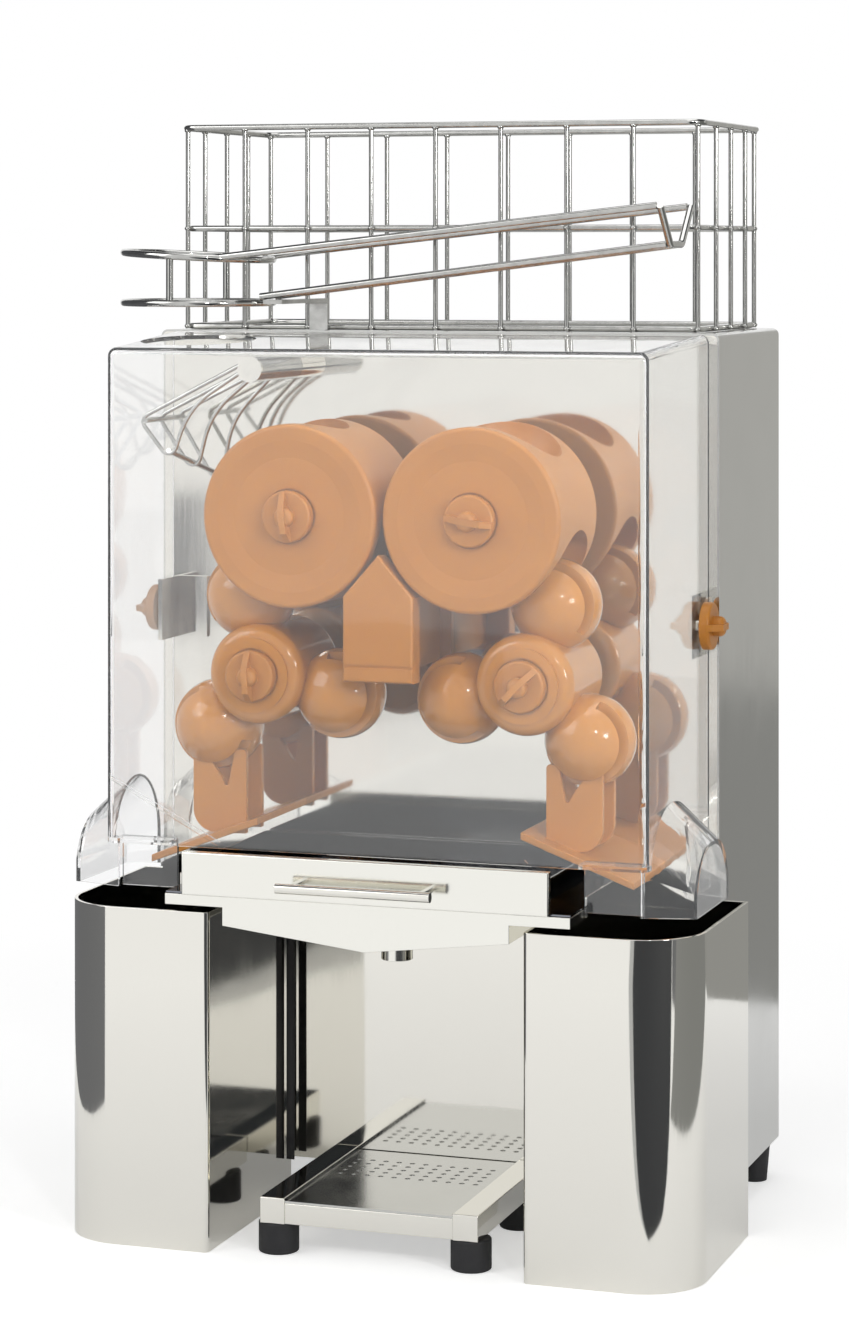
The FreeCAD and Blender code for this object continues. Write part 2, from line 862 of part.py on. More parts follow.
def ball_bearing(x, z, y0, width):
    """Sealed ball bearing: two races with a recessed shield between them."""
    ring = ring_y(x, z, y0, y0 + width, bearing_radius, shaft_radius + running_gap)
    for face_y in (y0 - overrun, y0 + width - bearing_side):
        recess = ring_y(x, z, face_y, face_y + overrun + bearing_side, bearing_radius - bearing_race,
                        shaft_radius + bearing_race)
        ring = ring.cut(recess)
    return ring


def front_bearings():
    """Bearings in the bulkhead's housings."""
    return [ball_bearing(x, z, behind(bearing_bridge), bearing_width) for x, z in upper_axes + lower_axes]


def rear_bearings():
    """Bearings in the gear plate."""
    return [ball_bearing(x, z, gear_plate_y, gear_plate_sheet) for x, z in upper_axes + lower_axes]


def shaft_seals():
    """Rubber lip seals on the bulkhead's front."""
    seals = []
    for x, z in upper_axes + lower_axes:
        seal = ring_y(x, z, ahead(seal_stand), bulkhead_y, seal_radius, shaft_radius + running_gap)
        front = [e for e in seal.Edges if e.Closed and e.CenterOfMass.y < ahead(seal_stand / 2)
                 and e.Curve.Radius > seal_radius - running_gap]
        seals.append(seal.makeFillet(seal_round, front))
    return Part.makeCompound(seals)


def cup_turns(side):
    """Directions of the three cups of one upper drum, seen from the front."""
    first = cup_turn_right if side > 0 else 180 - cup_turn_right
    return [first + side * index * 360 / cup_count for index in range(cup_count)]


def mesh_direction(side):
    """Direction from an upper drum's axis to the lower one below it, seen from the front."""
    return math.degrees(math.atan2(lower_axis_z - upper_axis_z, side * (lower_axis_x - upper_axis_x)))


def ball_turns(side):
    """Directions of the three balls of one lower drum, each the partner of a cup."""
    return [180 + 2 * mesh_direction(side) - turn for turn in cup_turns(side)]


def knob_relief(x, z, face):
    """Groove in a drum's face about the foot of its knob, which lets a fingernail or a brush in."""
    return ring_y(x, z, face - overrun, face + knob_groove_depth, knob_radius + knob_groove,
                  knob_radius - knob_groove)


def cup_drum(side):
    """Drum with three round pockets that hold the fruit halves."""
    x = side * upper_axis_x
    z = upper_axis_z
    front = ahead(drum_reach)
    back = ahead(drum_reach - drum_depth)
    drum = rod_y(x, z, front, back, disc_radius)
    drum = drum.makeFillet(disc_edge, [e for e in drum.Edges if e.Closed])
    dish = Part.makeCone(disc_radius - disc_rim, disc_radius - disc_rim - disc_slope, disc_dish,
                         V(x, front, z), V(0, 1, 0))
    drum = drum.cut(dish).fuse(drum_sleeve(x, z, drum_reach - drum_depth))
    for turn in cup_turns(side):
        angle = math.radians(turn)
        centre = V(x + cup_orbit * math.cos(angle), ahead(ball_reach), z + cup_orbit * math.sin(angle))
        drum = drum.cut(Part.makeSphere(cup_radius, centre))
    drum = drum.cut(rod_y(x, z, front - overrun, bulkhead_y, shaft_nose_radius))
    return drum.cut(knob_relief(x, z, front + disc_dish))


def ball_drum(side):
    """Lower drum: a round hub with three press balls, grooved for the peel ejector."""
    x = side * lower_axis_x
    z = lower_axis_z
    front = ahead(hub_reach)
    back = ahead(hub_reach - hub_depth)
    hub = rod_y(x, z, front, back, hub_radius)
    hub = hub.makeFillet(hub_edge, [e for e in hub.Edges if e.Closed])
    collar = rod_y(x, z, front - hub_collar, front + hub_edge, hub_collar_radius)
    drum = hub.fuse([collar, drum_sleeve(x, z, hub_reach - hub_depth)])
    for turn in ball_turns(side):
        angle = math.radians(turn)
        centre = V(x + ball_orbit * math.cos(angle), ahead(ball_reach), z + ball_orbit * math.sin(angle))
        drum = drum.fuse(Part.makeSphere(ball_radius, centre))
    for offset in (-groove_spread, groove_spread):
        middle = ahead(ball_reach) + offset
        groove = ring_y(x, z, middle - groove_width / 2, middle + groove_width / 2,
                        ball_orbit + ball_radius + overrun, groove_floor)
        drum = drum.cut(groove)
    drum = drum.cut(rod_y(x, z, front - hub_collar - overrun, bulkhead_y, shaft_nose_radius))
    return drum.cut(knob_relief(x, z, front - hub_collar)).removeSplitter()


def drum_sleeve(x, z, back_reach):
    """Boss at the drum's back that stands on the shaft's shoulder."""
    return rod_y(x, z, ahead(back_reach + overrun), ahead(seal_stand + seal_lip),
                 shaft_radius + bearing_race)


def winged_knob(x, z, front, turn, radius, bore, base=None):
    """Round knob with a raised boss and one tapering wing, its face towards -Y at front."""
    base = knob_base if base is None else base
    body = rod_y(x, z, front - base, front, radius)
    body = body.makeFillet(knob_edge,
                           [e for e in body.Edges if e.Closed and e.CenterOfMass.y < front - base / 2])
    boss = rod_y(x, z, front - base - knob_boss, front, knob_boss_radius)
    boss = boss.makeFillet(knob_boss_round,
                           [e for e in boss.Edges if e.Closed and e.CenterOfMass.y < front - base])
    tip, middle, heel = [share * radius for share in knob_wing_shares]
    rise = front - base - knob_wing_rise
    outline = [(-tip, front - base / 2), (-tip, front - base - knob_edge), (-middle, rise), (heel, rise),
               (tip, front - base), (tip, front - base / 2)]
    face = polygon_face([V(x + a, b, z - knob_wing / 2) for a, b in outline])
    wing = face.extrude(V(0, 0, knob_wing))
    wing = turned_y(wing, x, z, turn)
    knob = body.fuse([boss, wing]).removeSplitter()
    return knob.cut(rod_y(x, z, front - base - bore[1], front + overrun, bore[0]))


def drum_knob(x, z, front, turn):
    """Knob that locks a drum on its shaft's stud."""
    return winged_knob(x, z, front, turn, knob_radius,
                       (stud_radius + running_gap, stud_length - knob_base + seat_gap))


def cover_knob(side):
    """Knob that clamps the cover's side wall, turned outwards."""
    inner = cover_side_x(clamp_reach) + clamp_knob_stand
    knob = winged_knob(0, 0, 0, 0, clamp_knob_radius, (stud_radius + running_gap, stud_length - knob_base))
    knob.rotate(V(0, 0, 0), V(0, 0, 1), 90)
    knob.translate(V(inner, ahead(clamp_reach), clamp_z))
    return knob if side > 0 else mirrored(knob)


def knife_holder():
    """House-shaped front plate with a spine that runs back to the bulkhead."""
    outline = [(-knife_half_width, knife_foot_z), (knife_half_width, knife_foot_z),
               (knife_half_width, knife_shoulder_z), (0, knife_apex_z),
               (-knife_half_width, knife_shoulder_z)]
    front = ahead(knife_plate_reach)
    back = front + knife_plate_thickness
    plate = prism_y(outline, front, back)
    plate = plate.makeFillet(knife_edge,
                             [e for e in plate.Edges if abs(e.CenterOfMass.y - front) < seat_gap])
    groove = box(-knife_half_width - overrun, knife_half_width + overrun, front - overrun,
                 front + knife_ledge_rise / 2, knife_ledge_z, knife_ledge_z + knife_ledge_rise)
    spine = box(-spine_half_width, spine_half_width, back - overrun, ahead(spine_flange), spine_foot_z,
                spine_top_z)
    flange = rounded_box(-spine_flange_half_width, spine_flange_half_width, ahead(spine_flange), bulkhead_y,
                         spine_foot_z, spine_top_z, spine_flange / 2, V(0, 1, 0))
    holder = plate.cut(groove).fuse([spine, flange]).removeSplitter()
    slot = box(-blade_thickness / 2, blade_thickness / 2, front + blade_front_inset,
               ahead(blade_rear_reach), blade_slot_z, knife_apex_z + overrun)
    return holder.cut(slot)


def knife_blade():
    """Thin upright blade with a sloped cutting edge."""
    front = ahead(knife_plate_reach) + blade_front_inset
    back = ahead(blade_rear_reach)
    outline = [(front, blade_slot_z), (back, blade_slot_z), (back, blade_top_z - blade_bevel),
               (back - blade_bevel, blade_top_z), (front + blade_front_bevel, blade_top_z),
               (front, knife_shoulder_z + blade_bevel)]
    return prism_x(outline, -blade_thickness / 2, blade_thickness / 2)


def ejector_fin(middle):
    """Forked fin that runs in one ball groove: a narrow and a broad prong, and a rounded heel."""
    inner_tip = fin_inner_x + fin_inner_prong
    outer_tip = fin_outer_x - fin_outer_prong
    outline = [(fin_inner_x, fin_heel_z), (fin_inner_x, fin_tip_z), (inner_tip, fin_tip_z),
               (fin_notch_x, fin_notch_z), (outer_tip, fin_tip_z), (fin_outer_x, fin_tip_z),
               (fin_outer_x, fin_heel_z)]
    fin = prism_y(outline, middle - fin_width / 2, middle + fin_width / 2)
    rounds = ((fin_tip_round, [p for p in outline if p[1] == fin_tip_z]),
              (fin_notch_round, [(fin_notch_x, fin_notch_z)]), (fin_heel_round, [outline[-1]]))
    for radius, places in rounds:
        edges = [e for e in fin.Edges
                 if e.BoundBox.YLength > fin_width / 2
                 and min(math.hypot(e.CenterOfMass.x - x, e.CenterOfMass.z - z) for x, z in places) < seat_gap]
        fin = fin.makeFillet(radius, edges)
    return fin


def ejector(side):
    """Forked peel scraper: two fins that run in the ball grooves and a sloping scoop."""
    fins = [ejector_fin(ahead(ball_reach) + offset) for offset in (-groove_spread, groove_spread)]
    scoop_outline = [(scoop_inner_x, scoop_inner_z), (scoop_outer_x, scoop_outer_z),
                     (scoop_outer_x, scoop_outer_z - scoop_sheet),
                     (scoop_inner_x, scoop_inner_z - scoop_sheet)]
    scoop = prism_y(scoop_outline, ahead(ball_reach + ball_radius), bulkhead_y)
    part = fins[0].fuse([fins[1], scoop]).removeSplitter()
    return part if side > 0 else mirrored(part)


def cover_side_x(reach, inset=0.0):
    """Half width of the cover's outside at a distance in front of the bulkhead."""
    share = reach / cover_reach
    return cover_rear_half + (cover_front_half - cover_rear_half) * share - inset


def cover_top_z(reach, inset=0.0):
    """Height of the cover's outside top at a distance in front of the bulkhead."""
    return cover_rear_top + (cover_front_top - cover_rear_top) * reach / cover_reach - inset


def cover_frame(reach, inset, foot):
    """Four-cornered wire across the cover at one depth."""
    x = cover_side_x(reach, inset)
    z = cover_top_z(reach, inset)
    y = ahead(reach)
    return Part.makePolygon([V(-x, y, foot), V(x, y, foot), V(x, y, z), V(-x, y, z), V(-x, y, foot)])


def cover_block(inset, front, rear, foot, corner):
    """Drafted block of the cover with its front corners rounded."""
    block = Part.makeLoft([cover_frame(front, inset, foot), cover_frame(rear, inset, foot)], True, True)
    rounded = []
    for edge in block.Edges:
        middle = edge.CenterOfMass
        if middle.z < foot + seat_gap:
            continue
        on_front = abs(middle.y - ahead(front)) < seat_gap
        top_side = middle.z > cover_front_top - cover_wall * 2 and abs(middle.x) > cover_front_half / 2
        if on_front or top_side:
            rounded.append(edge)
    return block.makeFillet(corner, rounded)


def cover_skirt(inset, foot, top):
    """Set-back lower part of the cover between its side walls."""
    outline = [(-cover_side_x(skirt_reach, inset), ahead(skirt_reach - inset)),
               (cover_side_x(skirt_reach, inset), ahead(skirt_reach - inset)),
               (cover_side_x(-overrun if inset else seat_gap, inset),
                ahead(-overrun if inset else seat_gap)),
               (-cover_side_x(-overrun if inset else seat_gap, inset),
                ahead(-overrun if inset else seat_gap))]
    return prism_z(outline, foot, top)


def hood_arch(x, front, rear, foot, top):
    """Arch wire across the cover's side: straight foot and legs, half-ellipse-like top."""
    y0 = ahead(front)
    y1 = ahead(rear)
    middle = (y0 + y1) / 2
    spring = foot + (top - foot) * hood_spring_share
    rise = top - spring
    quarter = math.sqrt(0.5)
    half = (y1 - y0) / 2
    left = Part.Arc(V(x, y0, spring), V(x, middle - half * quarter, spring + rise * quarter),
                    V(x, middle, top))
    right = Part.Arc(V(x, middle, top), V(x, middle + half * quarter, spring + rise * quarter),
                     V(x, y1, spring))
    legs = (Part.LineSegment(V(x, y0, foot), V(x, y0, spring)),
            Part.LineSegment(V(x, y1, spring), V(x, y1, foot)),
            Part.LineSegment(V(x, y1, foot), V(x, y0, foot)))
    return Part.Wire([legs[0].toShape(), left.toShape(), right.toShape(), legs[1].toShape(),
                      legs[2].toShape()])


def hood_block(inset, foot):
    """Bulge of the cover's side over the peel bin."""
    root = hood_arch(cover_front_half - cover_wall * 2, hood_front_reach - inset, hood_rear_reach + inset,
                     foot, hood_top_z + cover_wall - inset)
    face_x = cover_rear_half - cover_wall + hood_bulge - inset
    face = hood_arch(face_x, hood_front_reach - hood_face_inset - inset,
                     hood_rear_reach + hood_face_inset + inset, foot, hood_face_top_z - inset)
    return Part.makeLoft([root, face], True, True)


def front_cover():
    """Clear moulded cover with set-back flaps, side hoods, ribs and the drop hole."""
    outer = cover_block(0.0, cover_reach, seat_gap, cover_lip_z, cover_corner)
    outer = outer.fuse(cover_skirt(0.0, skirt_foot_z, cover_lip_z + cover_wall))
    for hood in both_sides(hood_block(0.0, skirt_foot_z)):
        outer = outer.fuse(hood)
    inner = cover_block(cover_wall, cover_reach - cover_wall, -overrun, cover_lip_z + cover_wall,
                        cover_corner - cover_wall)
    inner = inner.fuse(cover_skirt(cover_wall, skirt_foot_z - overrun, cover_lip_z + cover_wall * 2))
    for hood in both_sides(hood_block(cover_wall, skirt_foot_z - overrun)):
        inner = inner.fuse(hood)
    gap = box(-flap_inner_x, flap_inner_x, ahead(cover_reach - cover_wall),
              ahead(skirt_reach - cover_wall * 2), skirt_foot_z - overrun, cover_lip_z + cover_wall * 2)
    doorway = box(-flap_inner_x, flap_inner_x, ahead(cover_reach + overrun),
                  ahead(skirt_reach - cover_wall * 2), skirt_foot_z - overrun, cover_lip_z)
    cover = outer.cut(inner).cut(gap).cut(doorway)
    cover = cover.cut(rod_z(ring_x, ahead(ring_reach), cover_front_top - cover_top_drop(),
                            cabinet_top + overrun, drop_hole_radius))
    for slot in both_sides(clamp_slot()):
        cover = cover.cut(slot)
    for rib in both_sides(cover_rib()):
        cover = cover.fuse(rib)
    return cover.removeSplitter()


def cover_top_drop():
    """Depth below the cover's front top that surely lies under its roof."""
    return cover_wall + cover_corner


def clamp_slot():
    """Slot in the cover's side, open to the back, that slides over the clamp stud."""
    x0 = cover_side_x(cover_reach)
    x1 = cover_rear_half + overrun
    width = stud_radius + seat_gap
    slot = box(x0, x1, ahead(clamp_reach), behind(overrun), clamp_z - width, clamp_z + width)
    return slot.fuse(rod_x(ahead(clamp_reach), clamp_z, x0, x1, width))


def cover_rib():
    """Slanting rib inside the front wall that sheds juice towards the tray."""
    y1 = ahead(cover_reach - cover_wall - rib_rise)
    y0 = ahead(cover_reach - cover_wall / 2)
    x1 = cover_front_half - cover_wall / 2
    z0 = cover_lip_z + cover_wall / 2
    outline = [(rib_foot_x, z0), (x1, rib_side_z), (x1, rib_side_z + rib_width),
               (rib_foot_x - rib_width, z0 + rib_width)]
    return prism_y(outline, y0, y1)


def clamp_bracket(side):
    """Tab on the bulkhead with the stud that the cover knob screws on."""
    x1 = cover_side_x(clamp_reach * 2, cover_wall) - seat_gap
    x0 = x1 - clamp_tab_sheet
    tab = box(x0, x1, ahead(clamp_reach * 2), bulkhead_y, clamp_z - clamp_tab_half_height,
              clamp_z + clamp_tab_half_height)
    foot = box(x0 - clamp_tab_half_height, x0, ahead(clamp_tab_sheet), bulkhead_y,
               clamp_z - clamp_tab_half_height, clamp_z + clamp_tab_half_height)
    stud_end = cover_side_x(clamp_reach) + clamp_knob_stand + stud_length
    stud = rod_x(ahead(clamp_reach), clamp_z, x0, stud_end - knob_edge, stud_radius)
    part = tab.fuse([foot, stud]).removeSplitter()
    return part if side > 0 else mirrored(part)


def ring_wire(x, y, z, radius, wire, tilt=0.0):
    """Round wire ring, tilted about the Y axis."""
    ring = Part.makeTorus(radius, wire, V(x, y, z))
    ring.rotate(V(x, y, z), V(0, 1, 0), tilt)
    return ring


def drop_rings():
    """Two wire rings that guide each fruit down through the cover."""
    y = ahead(ring_reach)
    lower = ring_wire(ring_x, y, lower_ring_z, ring_radius, track_rod_radius)
    upper = ring_wire(ring_x, y, upper_ring_z, ring_radius, track_rod_radius, upper_ring_tilt)
    return Part.makeCompound([lower, upper])


def track_height(x, end_z, ring_z):
    """Height of a sloping track rod at a place along the machine."""
    start = ring_x + ring_radius
    return ring_z + (end_z - ring_z) * (x - start) / (track_end_x - start)


def track_rods():
    """Two low rods that carry the fruit and two high rods that keep it in line."""
    start = ring_x + ring_radius
    rods = []
    for side in (-1, 1):
        y = ahead(ring_reach) + side * lower_rod_half_gap
        rods.append(rod_between(V(start, y, track_lower_ring_z), V(track_end_x, y, track_lower_end_z),
                                track_rod_radius))
        y = ahead(ring_reach) + side * upper_rod_half_gap
        z0 = track_height(ring_x + ring_radius / 2, track_upper_end_z, track_upper_ring_z)
        rods.append(rod_between(V(ring_x + ring_radius / 2, y, z0), V(track_end_x, y, track_upper_end_z),
                                track_rod_radius))
    return Part.makeCompound(rods + [track_end()])


def track_end():
    """Closed frame at the track's high end, from rod to rod."""
    x = track_end_x + track_rod_radius
    y = ahead(ring_reach)
    upper = upper_rod_half_gap
    lower = lower_rod_half_gap
    points = [V(x, y - upper, track_upper_end_z), V(x, y - lower, track_lower_end_z),
              V(x, y + lower, track_lower_end_z), V(x, y + upper, track_upper_end_z)]
    return bent_wire(points, track_rod_radius, [track_bend] * 2)


def arm_x():
    """Place along the machine of the basket upright nearest to the drop rings."""
    x, _, _ = basket_loop(0.0)
    return min(spread(-x, x, front_upright_count), key=lambda place: abs(place - ring_x))


def track_posts():
    """Uprights between the rings and the arm that runs back to a basket upright."""
    y = ahead(ring_reach)
    low = lower_ring_z + track_rod_radius - weld_bite
    high = upper_ring_z - track_rod_radius + weld_bite
    front = rod_z(ring_x, y - ring_radius, low, high, track_rod_radius)
    rear = rod_z(ring_x, y + ring_radius, low, high, track_rod_radius)
    arm_start = y + math.sqrt(ring_radius ** 2 - (arm_x() - ring_x) ** 2)
    _, upright_y, _ = basket_loop(0.0)
    arm = rod_y(arm_x(), lower_ring_z, arm_start, upright_y - upright_radius + weld_bite, track_rod_radius)
    return [front, rear, arm]


def track_bracket():
    """Posts, rear arm and the flat strap under the low rods that runs back to the basket's foot ring."""
    _, foot_ring_y, _ = basket_loop(low_ring_inset())
    y0 = ahead(ring_reach) - lower_rod_half_gap - track_rod_radius
    y1 = foot_ring_y - ring_wire_radius
    x0 = ring_x + ring_radius + bracket_sheet
    x1 = x0 + bracket_width
    top = track_height(x0, track_lower_end_z, track_lower_ring_z) - track_rod_radius
    plate = box(x0, x1, y0, y1, top - bracket_sheet, top)
    drop = box(x0, x1, y1 - bracket_sheet, y1, basket_foot_z - ring_wire_radius + seat_gap, top)
    strap = plate.fuse(drop).removeSplitter()
    return Part.makeCompound(track_posts() + [strap])


def basket_loop(inset):
    """Half width and the front and back depths of the basket's plan, drawn in by an inset."""
    x = basket_half_width - ring_wire_radius - inset
    y0 = behind(basket_front_depth) + ring_wire_radius + inset
    y1 = rear_y - basket_rear_margin - ring_wire_radius - inset
    return x, y0, y1


def low_ring_inset():
    """Distance of the two lower rings inside the top ring, so that they touch the uprights."""
    return ring_wire_radius + upright_radius - weld_bite


def basket_ring(z, inset):
    """Wire ring with rounded corners round the basket."""
    x, y0, y1 = basket_loop(inset)
    points = [V(-x, y0, z), V(x, y0, z), V(x, y1, z), V(-x, y1, z)]
    return bent_wire(points, ring_wire_radius, [basket_corner - inset] * 4, True)


def basket_rings():
    """Top ring in line with the uprights, and the middle and foot rings inside them."""
    rings = [basket_ring(z, low_ring_inset()) for z in (basket_foot_z, basket_mid_z)]
    return rings + [basket_ring(basket_top - ring_wire_radius, 0.0)]


def spread(low, high, count):
    """Evenly spaced places between two ends, the ends left out."""
    return [low + (high - low) * (index + 1) / (count + 1) for index in range(count)]


def upright_places():
    """Plan places of the basket's uprights: one in each corner and the rest evenly between."""
    x, y0, y1 = basket_loop(0.0)
    pull = basket_corner * (1 - math.sqrt(0.5))
    corners = [(side * (x - pull), y) for side in (-1, 1) for y in (y0 + pull, y1 - pull)]
    across = [(place, y) for y in (y0, y1) for place in spread(-x, x, front_upright_count)]
    along = [(side * x, place) for side in (-1, 1) for place in spread(y0, y1, side_upright_count)]
    return corners + across + along


def basket_uprights():
    """Upright wires on all four sides of the basket, their tops welded under the top ring."""
    low = basket_foot_z - ring_wire_radius + seat_gap
    high = basket_top - ring_wire_radius * 2 + weld_bite
    return Part.makeCompound([rod_z(x, y, low, high, upright_radius) for x, y in upright_places()])


def hub_wall(turn, y):
    """Point in the middle of the gate hub's wall, at an angle seen from the front."""
    radius = (gate_hub_radius + gate_pin_radius) / 2
    angle = math.radians(turn)
    return V(gate_x + radius * math.cos(angle), y, gate_z + radius * math.sin(angle))


def gate_loop_points(index):
    """Corners of a gate loop: straight out to its tip, in to its low corner and back over a belly."""
    y = gate_depth(index)
    lower = hub_wall(gate_lower_turn, y)
    low = V(gate_low_x + gate_low_step_x * index, y, gate_low_z + gate_low_step_z * index)
    belly = (lower + low) / 2 + V(-gate_belly, 0, gate_belly_rise)
    return [hub_wall(gate_upper_turn, y), V(gate_tip_x, y, gate_tip_z), low, belly, lower]


def gate_depth(index):
    """Depth coordinate of one of the gate's loops, counted from the front."""
    start = ahead(gate_hub_start + gate_hub_length) + gate_cross_radius * 2
    end = ahead(gate_hub_start) - gate_cross_radius * 2
    return start + (end - start) * index / (gate_wire_count - 1)


def gate_cross(corner):
    """Cross bar welded inside one corner of every loop."""
    ends = []
    for index in (0, gate_wire_count - 1):
        points = gate_loop_points(index)
        ends.append(inside_corner(points[corner - 1], points[corner], points[corner + 1], gate_tip_bend))
    along = (ends[1] - ends[0]).normalize()
    length = (ends[1] - ends[0]).Length + gate_cross_overhang * 2
    return Part.makeCylinder(gate_cross_radius, length, ends[0] - along * gate_cross_overhang, along)


def feed_gate():
    """Wire fork that lets one fruit at a time onto the drums."""
    y0 = ahead(gate_hub_start + gate_hub_length)
    y1 = ahead(gate_hub_start)
    hub = rod_y(gate_x, gate_z, y0, y1, gate_hub_radius)
    hub = hub.cut(rod_y(gate_x, gate_z, y0 - overrun, y1 + overrun, gate_pin_radius + running_gap))
    loops = [bent_wire(gate_loop_points(index), gate_wire_radius,
                       [gate_tip_bend, gate_tip_bend, gate_run_bend]) for index in range(gate_wire_count)]
    return hub.fuse(loops + [gate_cross(1), gate_cross(2)])


def inside_corner(before, corner, after, bend):
    """Point on the inner side of a bent wire's corner, where a cross bar is welded."""
    first = before.sub(corner).normalize()
    second = after.sub(corner).normalize()
    bisector = (first + second).normalize()
    reach = bend / math.sin(first.getAngle(second) / 2) - bend + gate_wire_radius
    return corner + bisector * reach


def gate_pin():
    """Fixed pin that the feed gate swings on, with its end collar and rear nut."""
    front = ahead(gate_hub_start + gate_hub_length + seat_gap)
    pin = rod_y(gate_x, gate_z, front, behind(bulkhead_sheet), gate_pin_radius)
    collar = rod_y(gate_x, gate_z, ahead(gate_hub_start - seat_gap), bulkhead_y, gate_hub_radius)
    cap = rod_y(gate_x, gate_z, front - bolt_head, front, gate_hub_radius)
    nut = rod_y(gate_x, gate_z, behind(bulkhead_sheet), behind(bulkhead_sheet + bolt_head), gate_hub_radius)
    return pin.fuse([collar, cap, nut]).removeSplitter()


def drawer_front():
    """Thick polished front of the pulp drawer, its edges rounded."""
    front = ahead(drawer_front_reach)
    plate = box(-drawer_half_width, drawer_half_width, front, front + drawer_front_sheet, drawer_foot_z,
                drawer_top_z)
    outer = [e for e in plate.Edges if abs(e.CenterOfMass.y - front) < seat_gap]
    return plate.makeFillet(drawer_sheet, outer)


def pulp_drawer():
    """Shallow strainer tray behind the drawer front, with drain holes in its floor."""
    front = ahead(drawer_front_reach) + drawer_front_sheet
    back = ahead(drawer_rear_reach)
    foot = drawer_foot_z
    top = foot + drawer_box_height
    outer = box(-drawer_box_half_width, drawer_box_half_width, front, back, foot, top)
    inner = box(-drawer_box_half_width + drawer_sheet, drawer_box_half_width - drawer_sheet,
                front + drawer_sheet, back - drawer_sheet, foot + drawer_sheet, top + overrun)
    half = tank_half_width - seat_gap
    flange = box(-half, half, front, back, foot, foot + drawer_sheet)
    tray = outer.fuse(flange).cut(inner)
    holes = []
    columns = int((drawer_box_half_width - hole_margin) / hole_pitch)
    rows = int((back - front - hole_margin * 2) / hole_pitch)
    for column in range(-columns, columns + 1):
        for row in range(rows + 1):
            x = column * hole_pitch
            y = front + hole_margin + row * hole_pitch
            holes.append(rod_z(x, y, foot - overrun, foot + drawer_sheet + overrun, hole_radius))
    return tray.cut(holes)


def drawer_handle():
    """Round bar handle on two posts."""
    front = ahead(drawer_front_reach)
    y = front - handle_stand
    z = (drawer_foot_z + drawer_top_z) / 2 - handle_drop
    bar = rod_x(y, z, -handle_half_length, handle_half_length, handle_rod_radius)
    posts = [rod_y(side * (handle_half_length - handle_post_inset), z, y, front, handle_post_radius)
             for side in (-1, 1)]
    return bar.fuse(posts).removeSplitter()


def tank_outline(inset):
    """Cross-section of the juice tank: straight sides and a shallow V floor."""
    x = tank_box_half_width - inset
    return [(-x, tank_rim_z), (-x, tank_side_z + inset), (0, tank_centre_z + inset),
            (x, tank_side_z + inset), (x, tank_rim_z)]


def juice_tank():
    """Collector with a rim frame, a V floor and the spout hole."""
    front = ahead(tank_front_reach)
    back = ahead(tank_rear_reach)
    rim = box(-tank_half_width, tank_half_width, front, back, tank_rim_z - tank_rim_height, tank_rim_z)
    rim_inner = box(-tank_half_width + tank_sheet, tank_half_width - tank_sheet, front + tank_sheet,
                    back - tank_sheet, tank_rim_z - tank_rim_height + tank_sheet, tank_rim_z + overrun)
    body = prism_y(tank_outline(0.0), front, back)
    hollow = prism_y([(x, z if z < tank_rim_z else z + overrun) for x, z in tank_outline(tank_sheet)],
                     front + tank_sheet, back - tank_sheet)
    tank = rim.cut(rim_inner).fuse(body).cut(hollow)
    bore = rod_z(0, ahead(spout_reach), spout_foot_z, tank_rim_z, spout_radius - spout_wall)
    return tank.cut(bore).fuse(juice_spout()).removeSplitter()


def juice_spout():
    """Short pipe under the tank's lowest line."""
    y = ahead(spout_reach)
    pipe = rod_z(0, y, spout_foot_z, tank_side_z, spout_radius)
    floor = prism_y([(-spout_radius * 2, tank_side_z + overrun),
                     (-spout_radius * 2, spout_slope(spout_radius * 2)), (0, tank_centre_z),
                     (spout_radius * 2, spout_slope(spout_radius * 2)),
                     (spout_radius * 2, tank_side_z + overrun)], y - spout_radius * 2, y + spout_radius * 2)
    pipe = pipe.cut(floor)
    return pipe.cut(rod_z(0, y, spout_foot_z - overrun, tank_side_z + overrun, spout_radius - spout_wall))


def spout_slope(x):
    """Height of the tank's floor outside at a distance from the middle."""
    return tank_centre_z + (tank_side_z - tank_centre_z) * x / tank_box_half_width


def tank_rail(side):
    """Angle bracket on the bulkhead that carries one side of the tank's rim."""
    top = tank_rim_z - tank_rim_height
    foot = top - rail_sheet
    x1 = tank_half_width + seat_gap + rail_sheet
    front = ahead(skirt_reach - cover_wall * 2)
    shelf = box(x1 - rail_height, x1, front, bulkhead_y, foot, top)
    web = box(x1 - rail_sheet, x1, front, bulkhead_y, foot, top + rail_height)
    plate = box(x1 - rail_height, x1, ahead(rail_sheet), bulkhead_y, foot, top + rail_height)
    part = shelf.fuse([web, plate]).removeSplitter()
    return part if side > 0 else mirrored(part)


